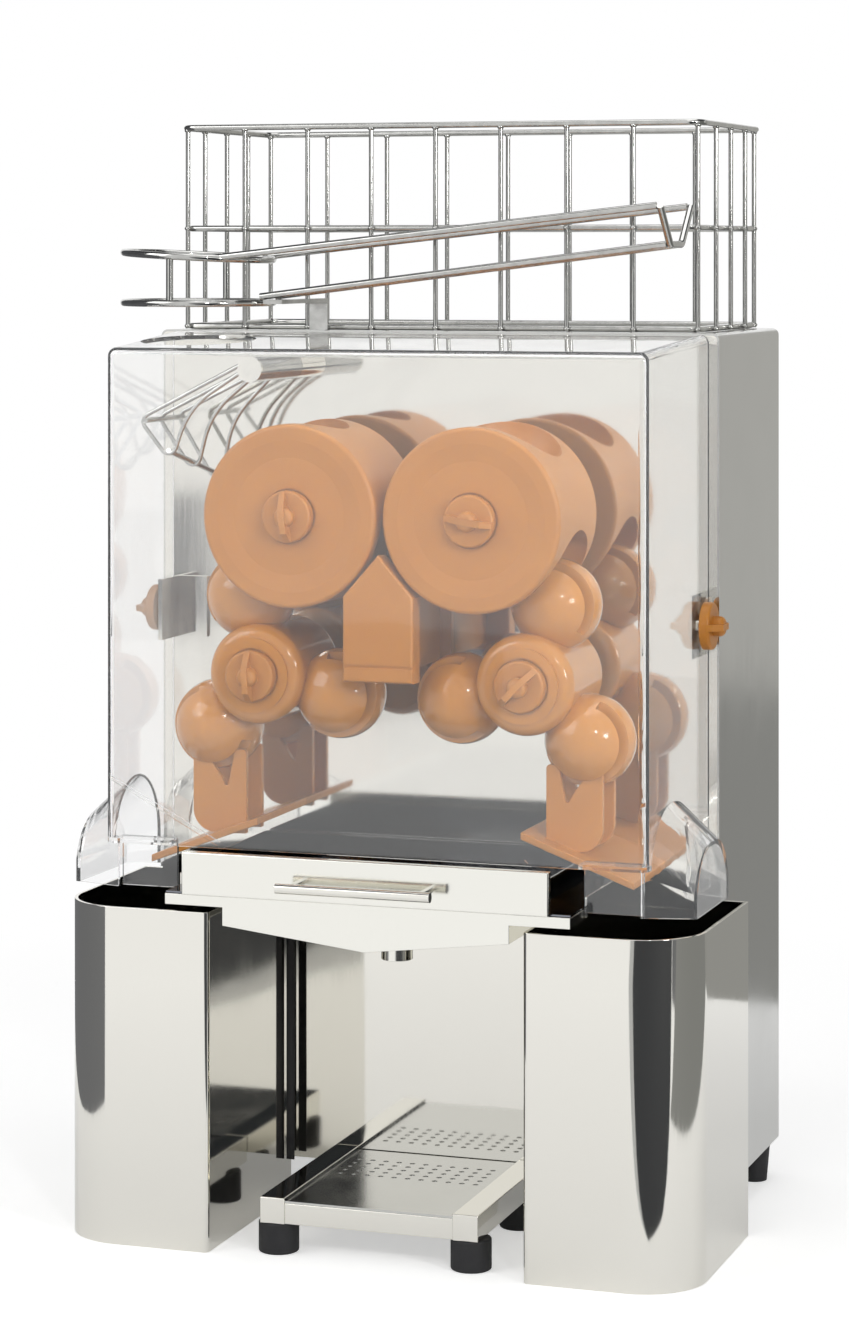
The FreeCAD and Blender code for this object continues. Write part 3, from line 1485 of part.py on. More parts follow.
def bin_plan(inset):
    """Plan of a peel bin: one large rounded corner at the outer front."""
    x0 = bin_inner_x + inset
    x1 = bin_outer_x - inset
    y0 = ahead(bin_front_reach) + inset
    y1 = lower_panel_y - seat_gap - inset
    radius = bin_corner - inset
    small = max(bin_small_corner - inset, bin_small_corner / 2)
    quarter = math.sqrt(0.5)
    points = {}
    for name, cx, cy, sx, sy, r in (("inner", x0 + small, y0 + small, -1, -1, small),
                                    ("outer", x1 - radius, y0 + radius, 1, -1, radius)):
        points[name] = (V(cx, cy + sy * r, 0), V(cx + sx * r * quarter, cy + sy * r * quarter, 0),
                        V(cx + sx * r, cy, 0))
    inner_corner = arc_edge(points["inner"])
    outer_corner = arc_edge(points["outer"])
    front = Part.LineSegment(points["inner"][0], points["outer"][0]).toShape()
    outer = Part.LineSegment(points["outer"][2], V(x1, y1, 0)).toShape()
    back = Part.LineSegment(V(x1, y1, 0), V(x0, y1, 0)).toShape()
    inner = Part.LineSegment(V(x0, y1, 0), points["inner"][2]).toShape()
    return Part.Face(Part.Wire([front, outer_corner, outer, back, inner, inner_corner]))


def peel_bin(side):
    """Open-topped sheet bin with a folded rim."""
    outer = bin_plan(0.0).extrude(V(0, 0, bin_height))
    inner = bin_plan(bin_sheet).extrude(V(0, 0, bin_height + overrun))
    inner.translate(V(0, 0, bin_sheet))
    hem = bin_plan(bin_sheet).extrude(V(0, 0, bin_hem)).cut(bin_plan(bin_rim).extrude(V(0, 0, bin_hem)))
    hem.translate(V(0, 0, bin_height - bin_hem))
    part = outer.cut(inner).fuse(hem).removeSplitter()
    return part if side > 0 else mirrored(part)


def stand_top_z():
    """Height of the glass stand's rails."""
    return stand_foot_height + stand_rail


def stand_frame():
    """Two square side tubes and two cross tubes."""
    front = ahead(stand_front_reach)
    back = ahead(stand_rear_reach)
    low = stand_foot_height
    top = stand_top_z()
    pieces = []
    for side in (-1, 1):
        outer = stand_half_width * side
        inner = (stand_half_width - stand_rail) * side
        x0, x1 = sorted((outer, inner))
        pieces.append(box(x0, x1, front + stand_cap, back - stand_cap, low, top))
    inner_half = stand_half_width - stand_rail
    for y in (front + stand_cap, back - stand_cap - stand_rail):
        pieces.append(box(-inner_half, inner_half, y, y + stand_rail, low,
                          top - stand_plate_drop - stand_plate_sheet))
    frame = pieces[0].fuse(pieces[1:]).removeSplitter()
    for side in (-1, 1):
        centre = side * (stand_half_width - stand_rail / 2)
        half = stand_rail / 2 - stand_tube_wall
        frame = frame.cut(box(centre - half, centre + half, front, back, low + stand_tube_wall,
                              top - stand_tube_wall))
    return frame.fuse(stand_caps()).removeSplitter()


def stand_caps():
    """Plug in each end of the side tubes."""
    caps = []
    for side in (-1, 1):
        centre = side * (stand_half_width - stand_rail / 2)
        half = stand_rail / 2
        core = half - stand_tube_wall
        for end, inward in ((ahead(stand_front_reach), 1), (ahead(stand_rear_reach), -1)):
            y0, y1 = sorted((end, end + inward * stand_cap))
            cap = box(centre - half, centre + half, y0, y1, stand_foot_height, stand_top_z())
            y0, y1 = sorted((end, end + inward * stand_plug))
            plug = box(centre - core, centre + core, y0, y1, stand_foot_height + stand_tube_wall,
                       stand_top_z() - stand_tube_wall)
            caps.append(cap.fuse(plug).removeSplitter())
    return caps


def stand_plate():
    """Polished plate between the rails, with rows of drain holes near its back."""
    inner_half = stand_half_width - stand_rail
    front = ahead(stand_front_reach) + stand_cap
    back = ahead(stand_rear_reach) - stand_cap
    top = stand_top_z() - stand_plate_drop
    plate = box(-inner_half, inner_half, front, back, top - stand_plate_sheet, top)
    across = inner_half - stand_hole_margin
    count = int(across / stand_hole_pitch)
    holes = []
    for row in range(stand_hole_rows):
        y = back - stand_rail - stand_hole_margin - row * stand_hole_pitch
        for column in range(-count, count + 1):
            holes.append(rod_z(column * stand_hole_pitch, y, top - stand_plate_sheet - overrun,
                               top + overrun, stand_hole_radius))
    return plate.cut(holes)


def stand_feet():
    """Round rubber feet under the side tubes."""
    feet = []
    for side in (-1, 1):
        for y in (ahead(stand_front_reach) + stand_foot_setback,
                  ahead(stand_rear_reach) - stand_foot_setback - stand_foot_radius):
            x = side * (stand_half_width - stand_foot_inset)
            foot = rod_z(x, y, 0, stand_foot_height, stand_foot_radius)
            feet.append(foot.makeFillet(stand_tube_wall, [e for e in foot.Edges if e.Closed]))
    return Part.makeCompound(feet)


def drive_pinion():
    """Small gear cut in one piece with the drive's output shaft."""
    phase = link_gear_phases()["lower_right"]
    direction = math.degrees(math.atan2(pinion_z - lower_axis_z, pinion_x - lower_axis_x))
    turned = meshing_phase(phase, link_gear_teeth, pinion_teeth, direction)
    start = behind(rear_gear_depth)
    gear = gear_blank(pinion_teeth, pinion_x, pinion_z, start, turned)
    shaft = rod_y(pinion_x, pinion_z, start - shaft_tail, gearbox_y + gearbox_depth / 2,
                  pinion_shaft_radius)
    return gear.fuse(shaft).removeSplitter()


def gearbox():
    """Reduction gearbox on the back of the gear plate."""
    x = pinion_x + gearbox_offset_x
    z = pinion_z + gearbox_offset_z
    y0 = gearbox_y
    body = rounded_box(x - gearbox_width / 2, x + gearbox_width / 2, y0, y0 + gearbox_depth,
                       z - gearbox_height / 2, z + gearbox_height / 2, gearbox_round, V(0, 1, 0))
    bore = rod_y(pinion_x, pinion_z, y0 - overrun, y0 + gearbox_depth / 2,
                 pinion_shaft_radius + running_gap)
    return body.cut(bore)


def motor():
    """Finned motor body behind the gearbox."""
    x = pinion_x + gearbox_offset_x
    z = pinion_z + gearbox_offset_z
    y0 = motor_y
    body = rod_y(x, z, y0, y0 + motor_length, motor_radius)
    start = y0 + motor_fin_pitch
    while start < y0 + motor_length - motor_cap - motor_fin:
        body = body.cut(ring_y(x, z, start, start + motor_fin_pitch / 2, motor_radius + overrun,
                               motor_radius - motor_fin))
        start += motor_fin_pitch
    return body


def control_box():
    """Closed box with the motor relay and wiring terminals."""
    y1 = rear_y - 2 * sheet - foot_inset_y
    return rounded_box(control_x - control_width / 2, control_x + control_width / 2, y1 - control_depth,
                       y1, foot_height + base_sheet, foot_height + base_sheet + control_height,
                       cabinet_bend, V(0, 0, 1))


def switch_body():
    """Bezel and body of the power switch in the cabinet's left side."""
    y = behind(switch_y_depth)
    x0 = -half_width
    bezel = rounded_box(x0 - switch_bezel, x0, y - switch_half_width - switch_bezel,
                        y + switch_half_width + switch_bezel, switch_z - switch_half_height - switch_bezel,
                        switch_z + switch_half_height + switch_bezel, switch_bezel, V(1, 0, 0))
    body = box(x0, x0 + switch_depth, y - switch_half_width, y + switch_half_width,
               switch_z - switch_half_height, switch_z + switch_half_height)
    well = box(x0 - switch_bezel - overrun, x0 + rocker_well, y - switch_half_width + rocker_inset,
               y + switch_half_width - rocker_inset, switch_z - switch_half_height + rocker_inset,
               switch_z + switch_half_height - rocker_inset)
    return bezel.fuse(body).cut(well).removeSplitter()


def rocker():
    """Two-way rocker, resting tilted to off."""
    y = behind(switch_y_depth)
    width = switch_half_width - rocker_inset - seat_gap
    pivot_x = -half_width + rocker_pivot_depth
    reach = switch_half_height - rocker_inset - seat_gap * 4
    outline = [(pivot_x + rocker_height * a, switch_z + reach * b) for a, b in rocker_shares]
    part = prism_y(outline, y - width, y + width)
    return turned_y(part, pivot_x, switch_z, rocker_turn)


def inlet_socket():
    """Appliance inlet with a flange, a socket well and three pins."""
    y0 = rear_y
    flange = rounded_box(inlet_x - inlet_half_width, inlet_x + inlet_half_width, y0, y0 + rear_trim,
                         inlet_z - inlet_half_height, inlet_z + inlet_half_height, socket_wall, V(0, 1, 0))
    body = inlet_body_block(0.0)
    half_x = inlet_half_width - socket_margin - socket_wall
    half_z = inlet_half_height - socket_wall * 2
    well = box(inlet_x - half_x, inlet_x + half_x, y0 - inlet_depth + socket_wall, y0 + rear_trim + overrun,
               inlet_z - half_z, inlet_z + half_z)
    socket = flange.fuse(body).cut(well)
    pins = []
    for column, row in ((-1, -1), (0, 1), (1, -1)):
        pins.append(rod_y(inlet_x + column * half_x / 2, inlet_z + row * half_z / 3,
                          y0 - inlet_depth + socket_wall / 2, y0 - socket_wall, inlet_pin_radius))
    return socket.fuse(pins).removeSplitter()


def interlock_switch():
    """Safety switch body behind the bulkhead."""
    x0 = plunger_x - interlock_width / 2
    x1 = min(plunger_x + interlock_width / 2, half_width - sheet)
    y0 = behind(bulkhead_sheet)
    body = box(x0, x1, y0, y0 + interlock_depth, plunger_z - interlock_height / 2,
               plunger_z + interlock_height / 2)
    chamber = rod_y(plunger_x, plunger_z, y0 - overrun, y0 + plunger_chamber,
                    plunger_collar_radius + seat_gap)
    return body.cut(chamber)


def interlock_plunger():
    """Spring plunger that the closed cover holds pressed."""
    y0 = bulkhead_y - plunger_gap
    pin = rod_y(plunger_x, plunger_z, y0, behind(bulkhead_sheet + plunger_stroke), plunger_radius)
    collar = rod_y(plunger_x, plunger_z, behind(bulkhead_sheet + seat_gap),
                   behind(bulkhead_sheet + plunger_stroke), plunger_collar_radius)
    return pin.fuse(collar).removeSplitter()


def link_gear_phases():
    """Tooth phases of the linked gears, so that each pair is in mesh at rest."""
    phases = {}
    for name, side in (("right", 1), ("left", -1)):
        direction = mesh_direction(side)
        phases["upper_" + name] = direction
        phases["lower_" + name] = meshing_phase(direction, link_gear_teeth, link_gear_teeth, direction)
    return phases


def export(name, shape):
    """Write one sub-part."""
    shape.exportStep(os.path.join("parts", name + ".step"))


def build_cabinet():
    """Cabinet, its covers, feet and electrical pieces."""
    export("cabinet_shell", cabinet_shell())
    export("bulkhead", bulkhead())
    export("lower_front_panel", lower_front_panel())
    export("rear_cover", rear_cover())
    export("machine_screws", Part.makeCompound(rear_cover_screws() + foot_screws() + spacer_bolts()))
    export("base_plate", drilled_base())
    export("cabinet_feet", cabinet_feet())
    export("switch_body", switch_body())
    export("power_rocker", rocker())
    export("inlet_socket", inlet_socket())
    export("interlock_switch", interlock_switch())
    export("interlock_plunger", interlock_plunger())
    export("control_box", control_box())


def build_drive():
    """Gear plate, bearings, shafts, gears, gearbox and motor."""
    export("gear_plate", gear_plate())
    export("plate_spacers", plate_spacers())
    export("front_housings", front_housings())
    export("ball_bearings", Part.makeCompound(front_bearings() + rear_bearings()))
    export("shaft_seals", shaft_seals())
    phases = link_gear_phases()
    front_start, rear_start = gear_starts()
    for name, side in (("left", -1), ("right", 1)):
        x = side * upper_axis_x
        phase = 180.0 if side > 0 else meshing_phase(180.0, drum_gear_teeth, drum_gear_teeth, 180.0)
        export("upper_shaft_" + name, drum_shaft(x, upper_axis_z, drum_reach - disc_dish - knob_edge,
                                                 (front_start, rear_start)))
        drum_gear = fixed_gear(drum_gear_teeth, x, upper_axis_z, front_start, phase, shaft_radius)
        link_gear = fixed_gear(link_gear_teeth, x, upper_axis_z, rear_start, phases["upper_" + name],
                               shaft_radius)
        boss = ring_y(x, upper_axis_z, front_start + gear_width, rear_start, gear_hub_radius, shaft_radius)
        export("upper_gear_" + name, drum_gear.fuse([link_gear, boss]).removeSplitter())
        low_x = side * lower_axis_x
        export("lower_shaft_" + name, drum_shaft(low_x, lower_axis_z, hub_reach, (rear_start,)))
        export("lower_gear_" + name, fixed_gear(link_gear_teeth, low_x, lower_axis_z, rear_start,
                                                phases["lower_" + name], shaft_radius))
    export("drive_pinion", drive_pinion())
    export("gearbox", gearbox())
    export("motor", motor())


def build_drums():
    """Drums, their sleeves and knobs, knife and peel ejectors."""
    upper_turns = {"left": left_upper_knob_turn, "right": right_upper_knob_turn}
    lower_turns = {"left": left_lower_knob_turn, "right": right_lower_knob_turn}
    for name, side in (("left", -1), ("right", 1)):
        x = side * upper_axis_x
        low_x = side * lower_axis_x
        export("cup_drum_" + name, cup_drum(side))
        export("ball_drum_" + name, ball_drum(side))
        export("cup_knob_" + name, drum_knob(x, upper_axis_z, ahead(drum_reach - disc_dish),
                                             upper_turns[name]))
        export("ball_knob_" + name, drum_knob(low_x, lower_axis_z, ahead(hub_reach + hub_collar),
                                              lower_turns[name]))
        export("ejector_" + name, ejector(side))
    export("knife_holder", knife_holder())
    export("knife_blade", knife_blade())


def build_front():
    """Cover, drawer, tank, bins, stand, basket and feed."""
    export("front_cover", front_cover())
    for name, side in (("left", -1), ("right", 1)):
        export("cover_knob_" + name, cover_knob(side))
        export("peel_bin_" + name, peel_bin(side))
    fittings = [gate_pin()]
    for side in (-1, 1):
        fittings += [clamp_bracket(side), tank_rail(side)]
    export("bulkhead_fittings", Part.makeCompound(fittings))
    export("feed_gate", feed_gate())
    export("drawer_front", drawer_front())
    export("pulp_drawer", pulp_drawer())
    export("drawer_handle", drawer_handle())
    export("juice_tank", juice_tank())
    export("stand_frame", stand_frame())
    export("stand_plate", stand_plate())
    export("stand_feet", stand_feet())
    export("drop_rings", drop_rings())
    export("track_rods", track_rods())
    export("track_bracket", track_bracket())
    export("basket_rings", Part.makeCompound(basket_rings()))
    export("basket_uprights", basket_uprights())


os.makedirs("parts", exist_ok=True)
build_cabinet()
build_drive()
build_drums()
build_front()
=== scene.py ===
"""Looks of an automatic orange juicer, built around its packed construction. Lengths are in metres,
and the sizes of the finishes' patterns in millimetres."""
import json
import math

import bmesh
import bpy
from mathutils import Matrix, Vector


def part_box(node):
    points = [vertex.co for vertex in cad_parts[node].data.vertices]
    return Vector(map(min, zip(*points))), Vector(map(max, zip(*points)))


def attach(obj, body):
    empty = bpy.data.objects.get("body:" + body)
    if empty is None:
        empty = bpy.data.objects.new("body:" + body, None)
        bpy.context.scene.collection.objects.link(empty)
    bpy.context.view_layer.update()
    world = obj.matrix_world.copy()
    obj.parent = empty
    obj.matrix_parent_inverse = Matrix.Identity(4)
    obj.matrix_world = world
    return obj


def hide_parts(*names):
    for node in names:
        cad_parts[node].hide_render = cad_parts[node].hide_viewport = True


bl_info = {
    "name": "Automatic Orange Juicer",
    "version": (1, 0, 0),
    "blender": (4, 5, 0),
    "location": "View3D > Sidebar > Juicer",
    "description": "Dresses the packed juicer with its finishes, wires and studio",
    "category": "Object",
}

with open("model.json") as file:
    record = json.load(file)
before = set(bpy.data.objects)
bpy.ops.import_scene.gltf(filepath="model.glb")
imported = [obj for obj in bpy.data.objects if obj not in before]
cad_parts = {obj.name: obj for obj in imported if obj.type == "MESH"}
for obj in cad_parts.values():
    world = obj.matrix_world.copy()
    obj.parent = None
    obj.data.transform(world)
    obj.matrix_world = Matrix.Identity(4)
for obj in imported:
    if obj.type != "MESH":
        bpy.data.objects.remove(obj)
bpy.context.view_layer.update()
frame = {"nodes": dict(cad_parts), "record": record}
mm = 0.001

# Rounded edges: points nearer than merge_reach are one point, faces that turn less than flat_angle
# are one face, and edges that turn more than sharp_angle are rounded in edge_steps faces.
merge_reach = 0.002 * mm
flat_angle = math.radians(0.5)
sharp_angle = math.radians(38)
edge_steps = 2

# Black rubber strips, which are painted shade for the shadow gap between each bin and the lower
# wall:
# how much of their rise their front edges round off, in how many faces and on which profile, and
# the turn above which an edge stays sharp.
strip_round = 0.8
strip_steps = 5
quarter_circle = 0.5
smooth_angle = math.radians(32)

# Wires: faces round a wire, a weld bead's height to its width, and the share of an upright's length
# by which a ring may pass its end and still be welded to it.
wire_sides = 16
bead_height_share = 0.7
weld_reach = 0.03

# Stage: the height that the lamps aim at, and in millimetres the distances from the middle between
# which the floor fades to white, and the height of the picture that the lens is given for.
aim_height = 0.4
fade_start = 420
fade_end = 1100
film_height = 36


# Finishes

def linear(hex_colour):
    """sRGB hex to the linear colour that a shader takes."""
    parts = [int(hex_colour[i:i + 2], 16) / 255 for i in (1, 3, 5)]
    low, high = [c / 12.92 for c in parts], [((c + 0.055) / 1.055) ** 2.4 for c in parts]
    return (*[a if c <= 0.04045 else b for c, a, b in zip(parts, low, high)], 1.0)


def add(tree, kind, take, inputs=None, **settings):
    """Adds a node, fills its inputs with values or other nodes' outputs, and gives one output."""
    made = tree.nodes.new(kind)
    for name, value in settings.items():
        setattr(made, name, value)
    for name, value in (inputs or {}).items():
        if isinstance(value, bpy.types.NodeSocket):
            tree.links.new(value, made.inputs[name])
        else:
            made.inputs[name].default_value = value
    return made.outputs[take]


def start_finish(name, colour, **values):
    """A material with one Principled shader, and the object's own coordinates in millimetres."""
    material = bpy.data.materials.new(name)
    material.use_nodes = True
    tree = material.node_tree
    shader = tree.nodes["Principled BSDF"]
    shader.inputs["Base Color"].default_value = colour
    for socket, value in values.items():
        shader.inputs[socket.replace("_", " ")].default_value = value
    place = add(tree, "ShaderNodeTexCoord", "Object")
    place = add(tree, "ShaderNodeVectorMath", "Vector", {0: place, 1: (1 / mm, 1 / mm, 1 / mm)},
                operation="MULTIPLY")
    return material, tree, shader, place


def end_finish(tree, shader, colour=None, roughness=None, normal=None):
    """Links a finish's patterns to its shader."""
    for socket, pattern in (("Base Color", colour), ("Roughness", roughness), ("Normal", normal)):
        if pattern:
            tree.links.new(pattern, shader.inputs[socket])


def steel_sheet_finish(name, colour, wave, wave_depth, line, line_depth, rough, line_length=60):
    """Stainless sheet: reflections bend softly where it isn't quite flat, and its upright polishing
    or grinding lines blur them. Real lines are about 0.1 mm wide. These are drawn about 1 mm wide,
    and line_length times as long, so that they show."""
    smudge = 45
    material, tree, shader, place = start_finish(name, linear(colour), Metallic=1.0)
    waves = add(tree, "ShaderNodeTexNoise", "Fac",
                {"Vector": place, "Scale": 1 / wave, "Detail": 1.0})
    waves = add(tree, "ShaderNodeBump", "Normal", {"Height": waves, "Distance": wave_depth * mm})
    upright = add(tree, "ShaderNodeVectorMath", "Vector", {0: place, 1: (1, 1, 1 / line_length)},
                  operation="MULTIPLY")
    lines = add(tree, "ShaderNodeTexNoise", "Fac",
                {"Vector": upright, "Scale": 1 / line, "Detail": 3.0})
    normal = add(tree, "ShaderNodeBump", "Normal", {"Height": lines, "Distance": line_depth * mm,
                                                    "Normal": waves})
    smudges = add(tree, "ShaderNodeTexNoise", "Fac",
                  {"Vector": place, "Scale": 1 / smudge, "Detail": 3.0})
    both = add(tree, "ShaderNodeMath", "Value", {0: lines, 1: smudges}, operation="ADD")
    blur = add(tree, "ShaderNodeMapRange", "Result",
               {"Value": both, "From Min": 0.7, "From Max": 1.3,
                "To Min": rough[0], "To Max": rough[1]})
    end_finish(tree, shader, roughness=blur, normal=normal)
    return material


def polished_sheet_finish():
    """Mirror-polished stainless: crisp reflections, a little wavy."""
    return steel_sheet_finish(
        "mirror_polished_stainless", "#EAE8E1", wave=130, wave_depth=0.30, line=1.2,
        line_depth=0.0012, rough=(0.035, 0.085))


def satin_sheet_finish():
    """Satin-ground stainless: reflections melt into broad soft bands."""
    return steel_sheet_finish(
        "satin_ground_stainless", "#CDCDCA", wave=160, wave_depth=0.30, line=0.9,
        line_depth=0.003, rough=(0.12, 0.22), line_length=90)


def pressed_sheet_finish():
    """Pressed and polished stainless of the trays: brighter and softer than the mirror sheet."""
    return steel_sheet_finish(
        "pressed_stainless", "#F0EFE8", wave=80, wave_depth=0.20, line=1.0,
        line_depth=0.002, rough=(0.10, 0.18), line_length=20)


def strainer_finish():
    """Perforated stainless strainer, darker than the trays: its colour holds painted shade of its
    holes and painted dark reflections.
    """
    # The dark colour is painted shade and painted reflection, darker than real steel.
    return steel_sheet_finish(
        "strainer_with_painted_shade", "#82848A", wave=60, wave_depth=0.35, line=1.0,
        line_depth=0.001, rough=(0.05, 0.12), line_length=20)


def wire_finish():
    """Electropolished stainless wire: bright and smooth, with slightly darker and duller spots."""
    spot = 9
    material, tree, shader, place = start_finish(
        "electropolished_wire", linear("#D2D2D0"), Metallic=1.0)
    cloud = add(tree, "ShaderNodeTexNoise", "Fac",
                {"Vector": place, "Scale": 1 / spot, "Detail": 3.0})
    colour = add(tree, "ShaderNodeMix", 2, {0: cloud, 6: linear("#A3A3A0"), 7: linear("#CFCFCC")},
                 data_type="RGBA")
    blur = add(tree, "ShaderNodeMapRange", "Result",
               {"Value": cloud, "From Min": 0.3, "From Max": 0.7,
                "To Min": 0.16, "To Max": 0.08})
    end_finish(tree, shader, colour, blur)
    return material


def moulded_finish(name, dark, light, rough, swell_depth, coat):
    """Injection-moulded acetal: light passes a little way in, the skin swells and sinks, and a
    grain dulls it. The real grain is finer, and is drawn 0.9 mm wide so that it shows."""
    spot, swell, grain, grain_depth = 26, 14, 0.9, 0.008
    material, tree, shader, place = start_finish(
        name, light, IOR=1.48, Coat_Weight=coat, Coat_Roughness=0.04, Subsurface_Weight=0.06,
        Subsurface_Radius=(0.005, 0.0022, 0.0007), Subsurface_Scale=1.0)
    cloud = add(tree, "ShaderNodeTexNoise", "Fac",
                {"Vector": place, "Scale": 1 / spot, "Detail": 3.0})
    colour = add(tree, "ShaderNodeMix", 2, {0: cloud, 6: dark, 7: light}, data_type="RGBA")
    swells = add(tree, "ShaderNodeTexNoise", "Fac",
                 {"Vector": place, "Scale": 1 / swell, "Detail": 2.0})
    swells = add(tree, "ShaderNodeBump", "Normal", {"Height": swells, "Distance": swell_depth * mm})
    grains = add(tree, "ShaderNodeTexNoise", "Fac",
                 {"Vector": place, "Scale": 1 / grain, "Detail": 3.0})
    normal = add(tree, "ShaderNodeBump", "Normal", {"Height": grains, "Distance": grain_depth * mm,
                                                    "Normal": swells})
    blur = add(tree, "ShaderNodeMapRange", "Result",
               {"Value": grains, "From Min": 0.3, "From Max": 0.7,
                "To Min": rough[0], "To Max": rough[1]})
    end_finish(tree, shader, colour, blur, normal)
    return material


def glossy_orange_finish():
    """Orange acetal of the squeezing balls, worn glossy in use: small bright highlights."""
    colours = bpy.context.scene.juicer_colours
    return moulded_finish("polished_orange_acetal", colours.ball_dark, colours.ball_light,
                          rough=(0.10, 0.16), swell_depth=0.03, coat=0.5)


def satin_orange_finish():
    """Orange acetal of discs, knobs and scrapers as it leaves the mould: an even soft sheen."""
    colours = bpy.context.scene.juicer_colours
    return moulded_finish("satin_orange_acetal", colours.disc_dark, colours.disc_light,
                          rough=(0.34, 0.46), swell_depth=0.04, coat=0.05)


def clear_cover_finish():
    """Thermoformed clear polycarbonate, 3 mm thick: a faint white haze, soft ripples from forming
    and upright scratches, drawn wider than real ones so that they show. Lamps shine through it."""
    ripple, ripple_depth = 60, 0.08
    scratch, scratch_depth, scratch_length = 1.5, 0.0006, 12
    haze_share = 0.03
    material, tree, shader, place = start_finish(
        "clear_polycarbonate", linear("#FFFFFF"), IOR=1.585, Transmission_Weight=1.0,
        Roughness=0.02)
    ripples = add(tree, "ShaderNodeTexNoise", "Fac",
                  {"Vector": place, "Scale": 1 / ripple, "Detail": 1.0})
    ripples = add(tree, "ShaderNodeBump", "Normal",
                  {"Height": ripples, "Distance": ripple_depth * mm})
    upright = add(tree, "ShaderNodeVectorMath", "Vector", {0: place, 1: (1, 1, 1 / scratch_length)},
                  operation="MULTIPLY")
    lines = add(tree, "ShaderNodeTexNoise", "Fac",
                {"Vector": upright, "Scale": 1 / scratch, "Detail": 2.0})
    normal = add(tree, "ShaderNodeBump", "Normal", {"Height": lines, "Distance": scratch_depth * mm,
                                                    "Normal": ripples})
    end_finish(tree, shader, normal=normal)
    haze = add(tree, "ShaderNodeBsdfDiffuse", "BSDF", {"Color": linear("#F4F6F8")})
    veiled = add(tree, "ShaderNodeMixShader", "Shader",
                 {0: haze_share, 1: shader.outputs["BSDF"], 2: haze})
    shadow = add(tree, "ShaderNodeLightPath", "Is Shadow Ray")
    through = add(tree, "ShaderNodeBsdfTransparent", "BSDF", {"Color": linear("#F2F4F4")})
    mixed = add(tree, "ShaderNodeMixShader", "Shader", {0: shadow, 1: veiled, 2: through})
    tree.links.new(mixed, tree.nodes["Material Output"].inputs["Surface"])
    return material


def ground_steel_finish():
    """Ground and hardened knife steel: bright, with fine lines along the edge."""
    line, line_depth, line_length = 0.5, 0.004, 40
    material, tree, shader, place = start_finish(
        "ground_knife_steel", linear("#C9CACC"), Metallic=1.0)
    along = add(tree, "ShaderNodeVectorMath", "Vector", {0: place, 1: (1, 1 / line_length, 1)},
                operation="MULTIPLY")
    lines = add(tree, "ShaderNodeTexNoise", "Fac",
                {"Vector": along, "Scale": 1 / line, "Detail": 3.0})
    normal = add(tree, "ShaderNodeBump", "Normal", {"Height": lines, "Distance": line_depth * mm})
    blur = add(tree, "ShaderNodeMapRange", "Result",
               {"Value": lines, "To Min": 0.08, "To Max": 0.28})
    end_finish(tree, shader, roughness=blur, normal=normal)
    return material


def grainy_finish(name, dark, light, spot, grain, depth, rough, **values):
    """Opaque skin whose colour clouds over spots, and whose grain breaks up its highlights. Grain
    under half a millimetre wouldn't show, so a finer one is drawn that wide or more."""
    material, tree, shader, place = start_finish(name, linear(light), **values)
    cloud = add(tree, "ShaderNodeTexNoise", "Fac",
                {"Vector": place, "Scale": 1 / spot, "Detail": 4.0})
    colour = add(tree, "ShaderNodeMix", 2,
                 {0: cloud, 6: linear(dark), 7: linear(light)}, data_type="RGBA")
    grains = add(tree, "ShaderNodeTexNoise", "Fac",
                 {"Vector": place, "Scale": 1 / grain, "Detail": 3.0})
    normal = add(tree, "ShaderNodeBump", "Normal", {"Height": grains, "Distance": depth * mm})
    blur = add(tree, "ShaderNodeMapRange", "Result",
               {"Value": cloud, "From Min": 0.3, "From Max": 0.7,
                "To Min": rough[0], "To Max": rough[1]})
    end_finish(tree, shader, colour, blur, normal)
    return material


def turned_steel_finish():
    """Machined carbon steel of shafts and gears: grey, oiled, with fine tool marks."""
    return grainy_finish("machined_steel", "#85878A", "#B3B5B7", spot=7, grain=0.6, depth=0.006,
                         rough=(0.22, 0.38), Metallic=1.0)


def cast_metal_finish():
    """Sand-blasted cast aluminium: pale grey and matt, with a fine pitted skin."""
    return grainy_finish("cast_aluminium", "#A9ABAD", "#BFC1C3", spot=15, grain=0.8, depth=0.05,
                         rough=(0.42, 0.58), Metallic=1.0)


def painted_motor_finish():
    """Baked enamel on a cast motor: dark grey with an orange-peel skin."""
    return grainy_finish("baked_enamel", "#383D41", "#454A4E", spot=11, grain=2.2, depth=0.03,
                         rough=(0.34, 0.46), IOR=1.5, Coat_Weight=0.3)


def moulded_black_finish():
    """Moulded black polyamide: a spark-eroded grain that breaks up its highlights."""
    return grainy_finish("moulded_black_polyamide", "#161617", "#202021", spot=9, grain=0.5,
                         depth=0.02, rough=(0.36, 0.52), IOR=1.53)


def rubber_finish():
    """Black nitrile rubber of feet and seals: matt, dusted paler in places."""
    return grainy_finish("nitrile_rubber", "#111113", "#232326", spot=12, grain=0.7, depth=0.02,
                         rough=(0.55, 0.74), IOR=1.52)


finish_makers = {
    "polished": polished_sheet_finish,
    "satin": satin_sheet_finish,
    "pressed": pressed_sheet_finish,
    "strainer": strainer_finish,
    "wire": wire_finish,
    "orange": satin_orange_finish,
    "glossy_orange": glossy_orange_finish,
    "clear": clear_cover_finish,
    "knife": ground_steel_finish,
    "machined": turned_steel_finish,
    "cast": cast_metal_finish,
    "motor": painted_motor_finish,
    "black": moulded_black_finish,
    "rubber": rubber_finish,
}
finishes = {}


def finish(name):
    """One shared material for each finish, made when it is first asked for."""
    if name not in finishes:
        finishes[name] = finish_makers[name]()
    return finishes[name]


def dress(name, *nodes):
    """Gives construction nodes one finish."""
    for node in nodes:
        mesh = frame["nodes"][node].data
        mesh.materials.clear()
        mesh.materials.append(finish(name))


# Reading the construction

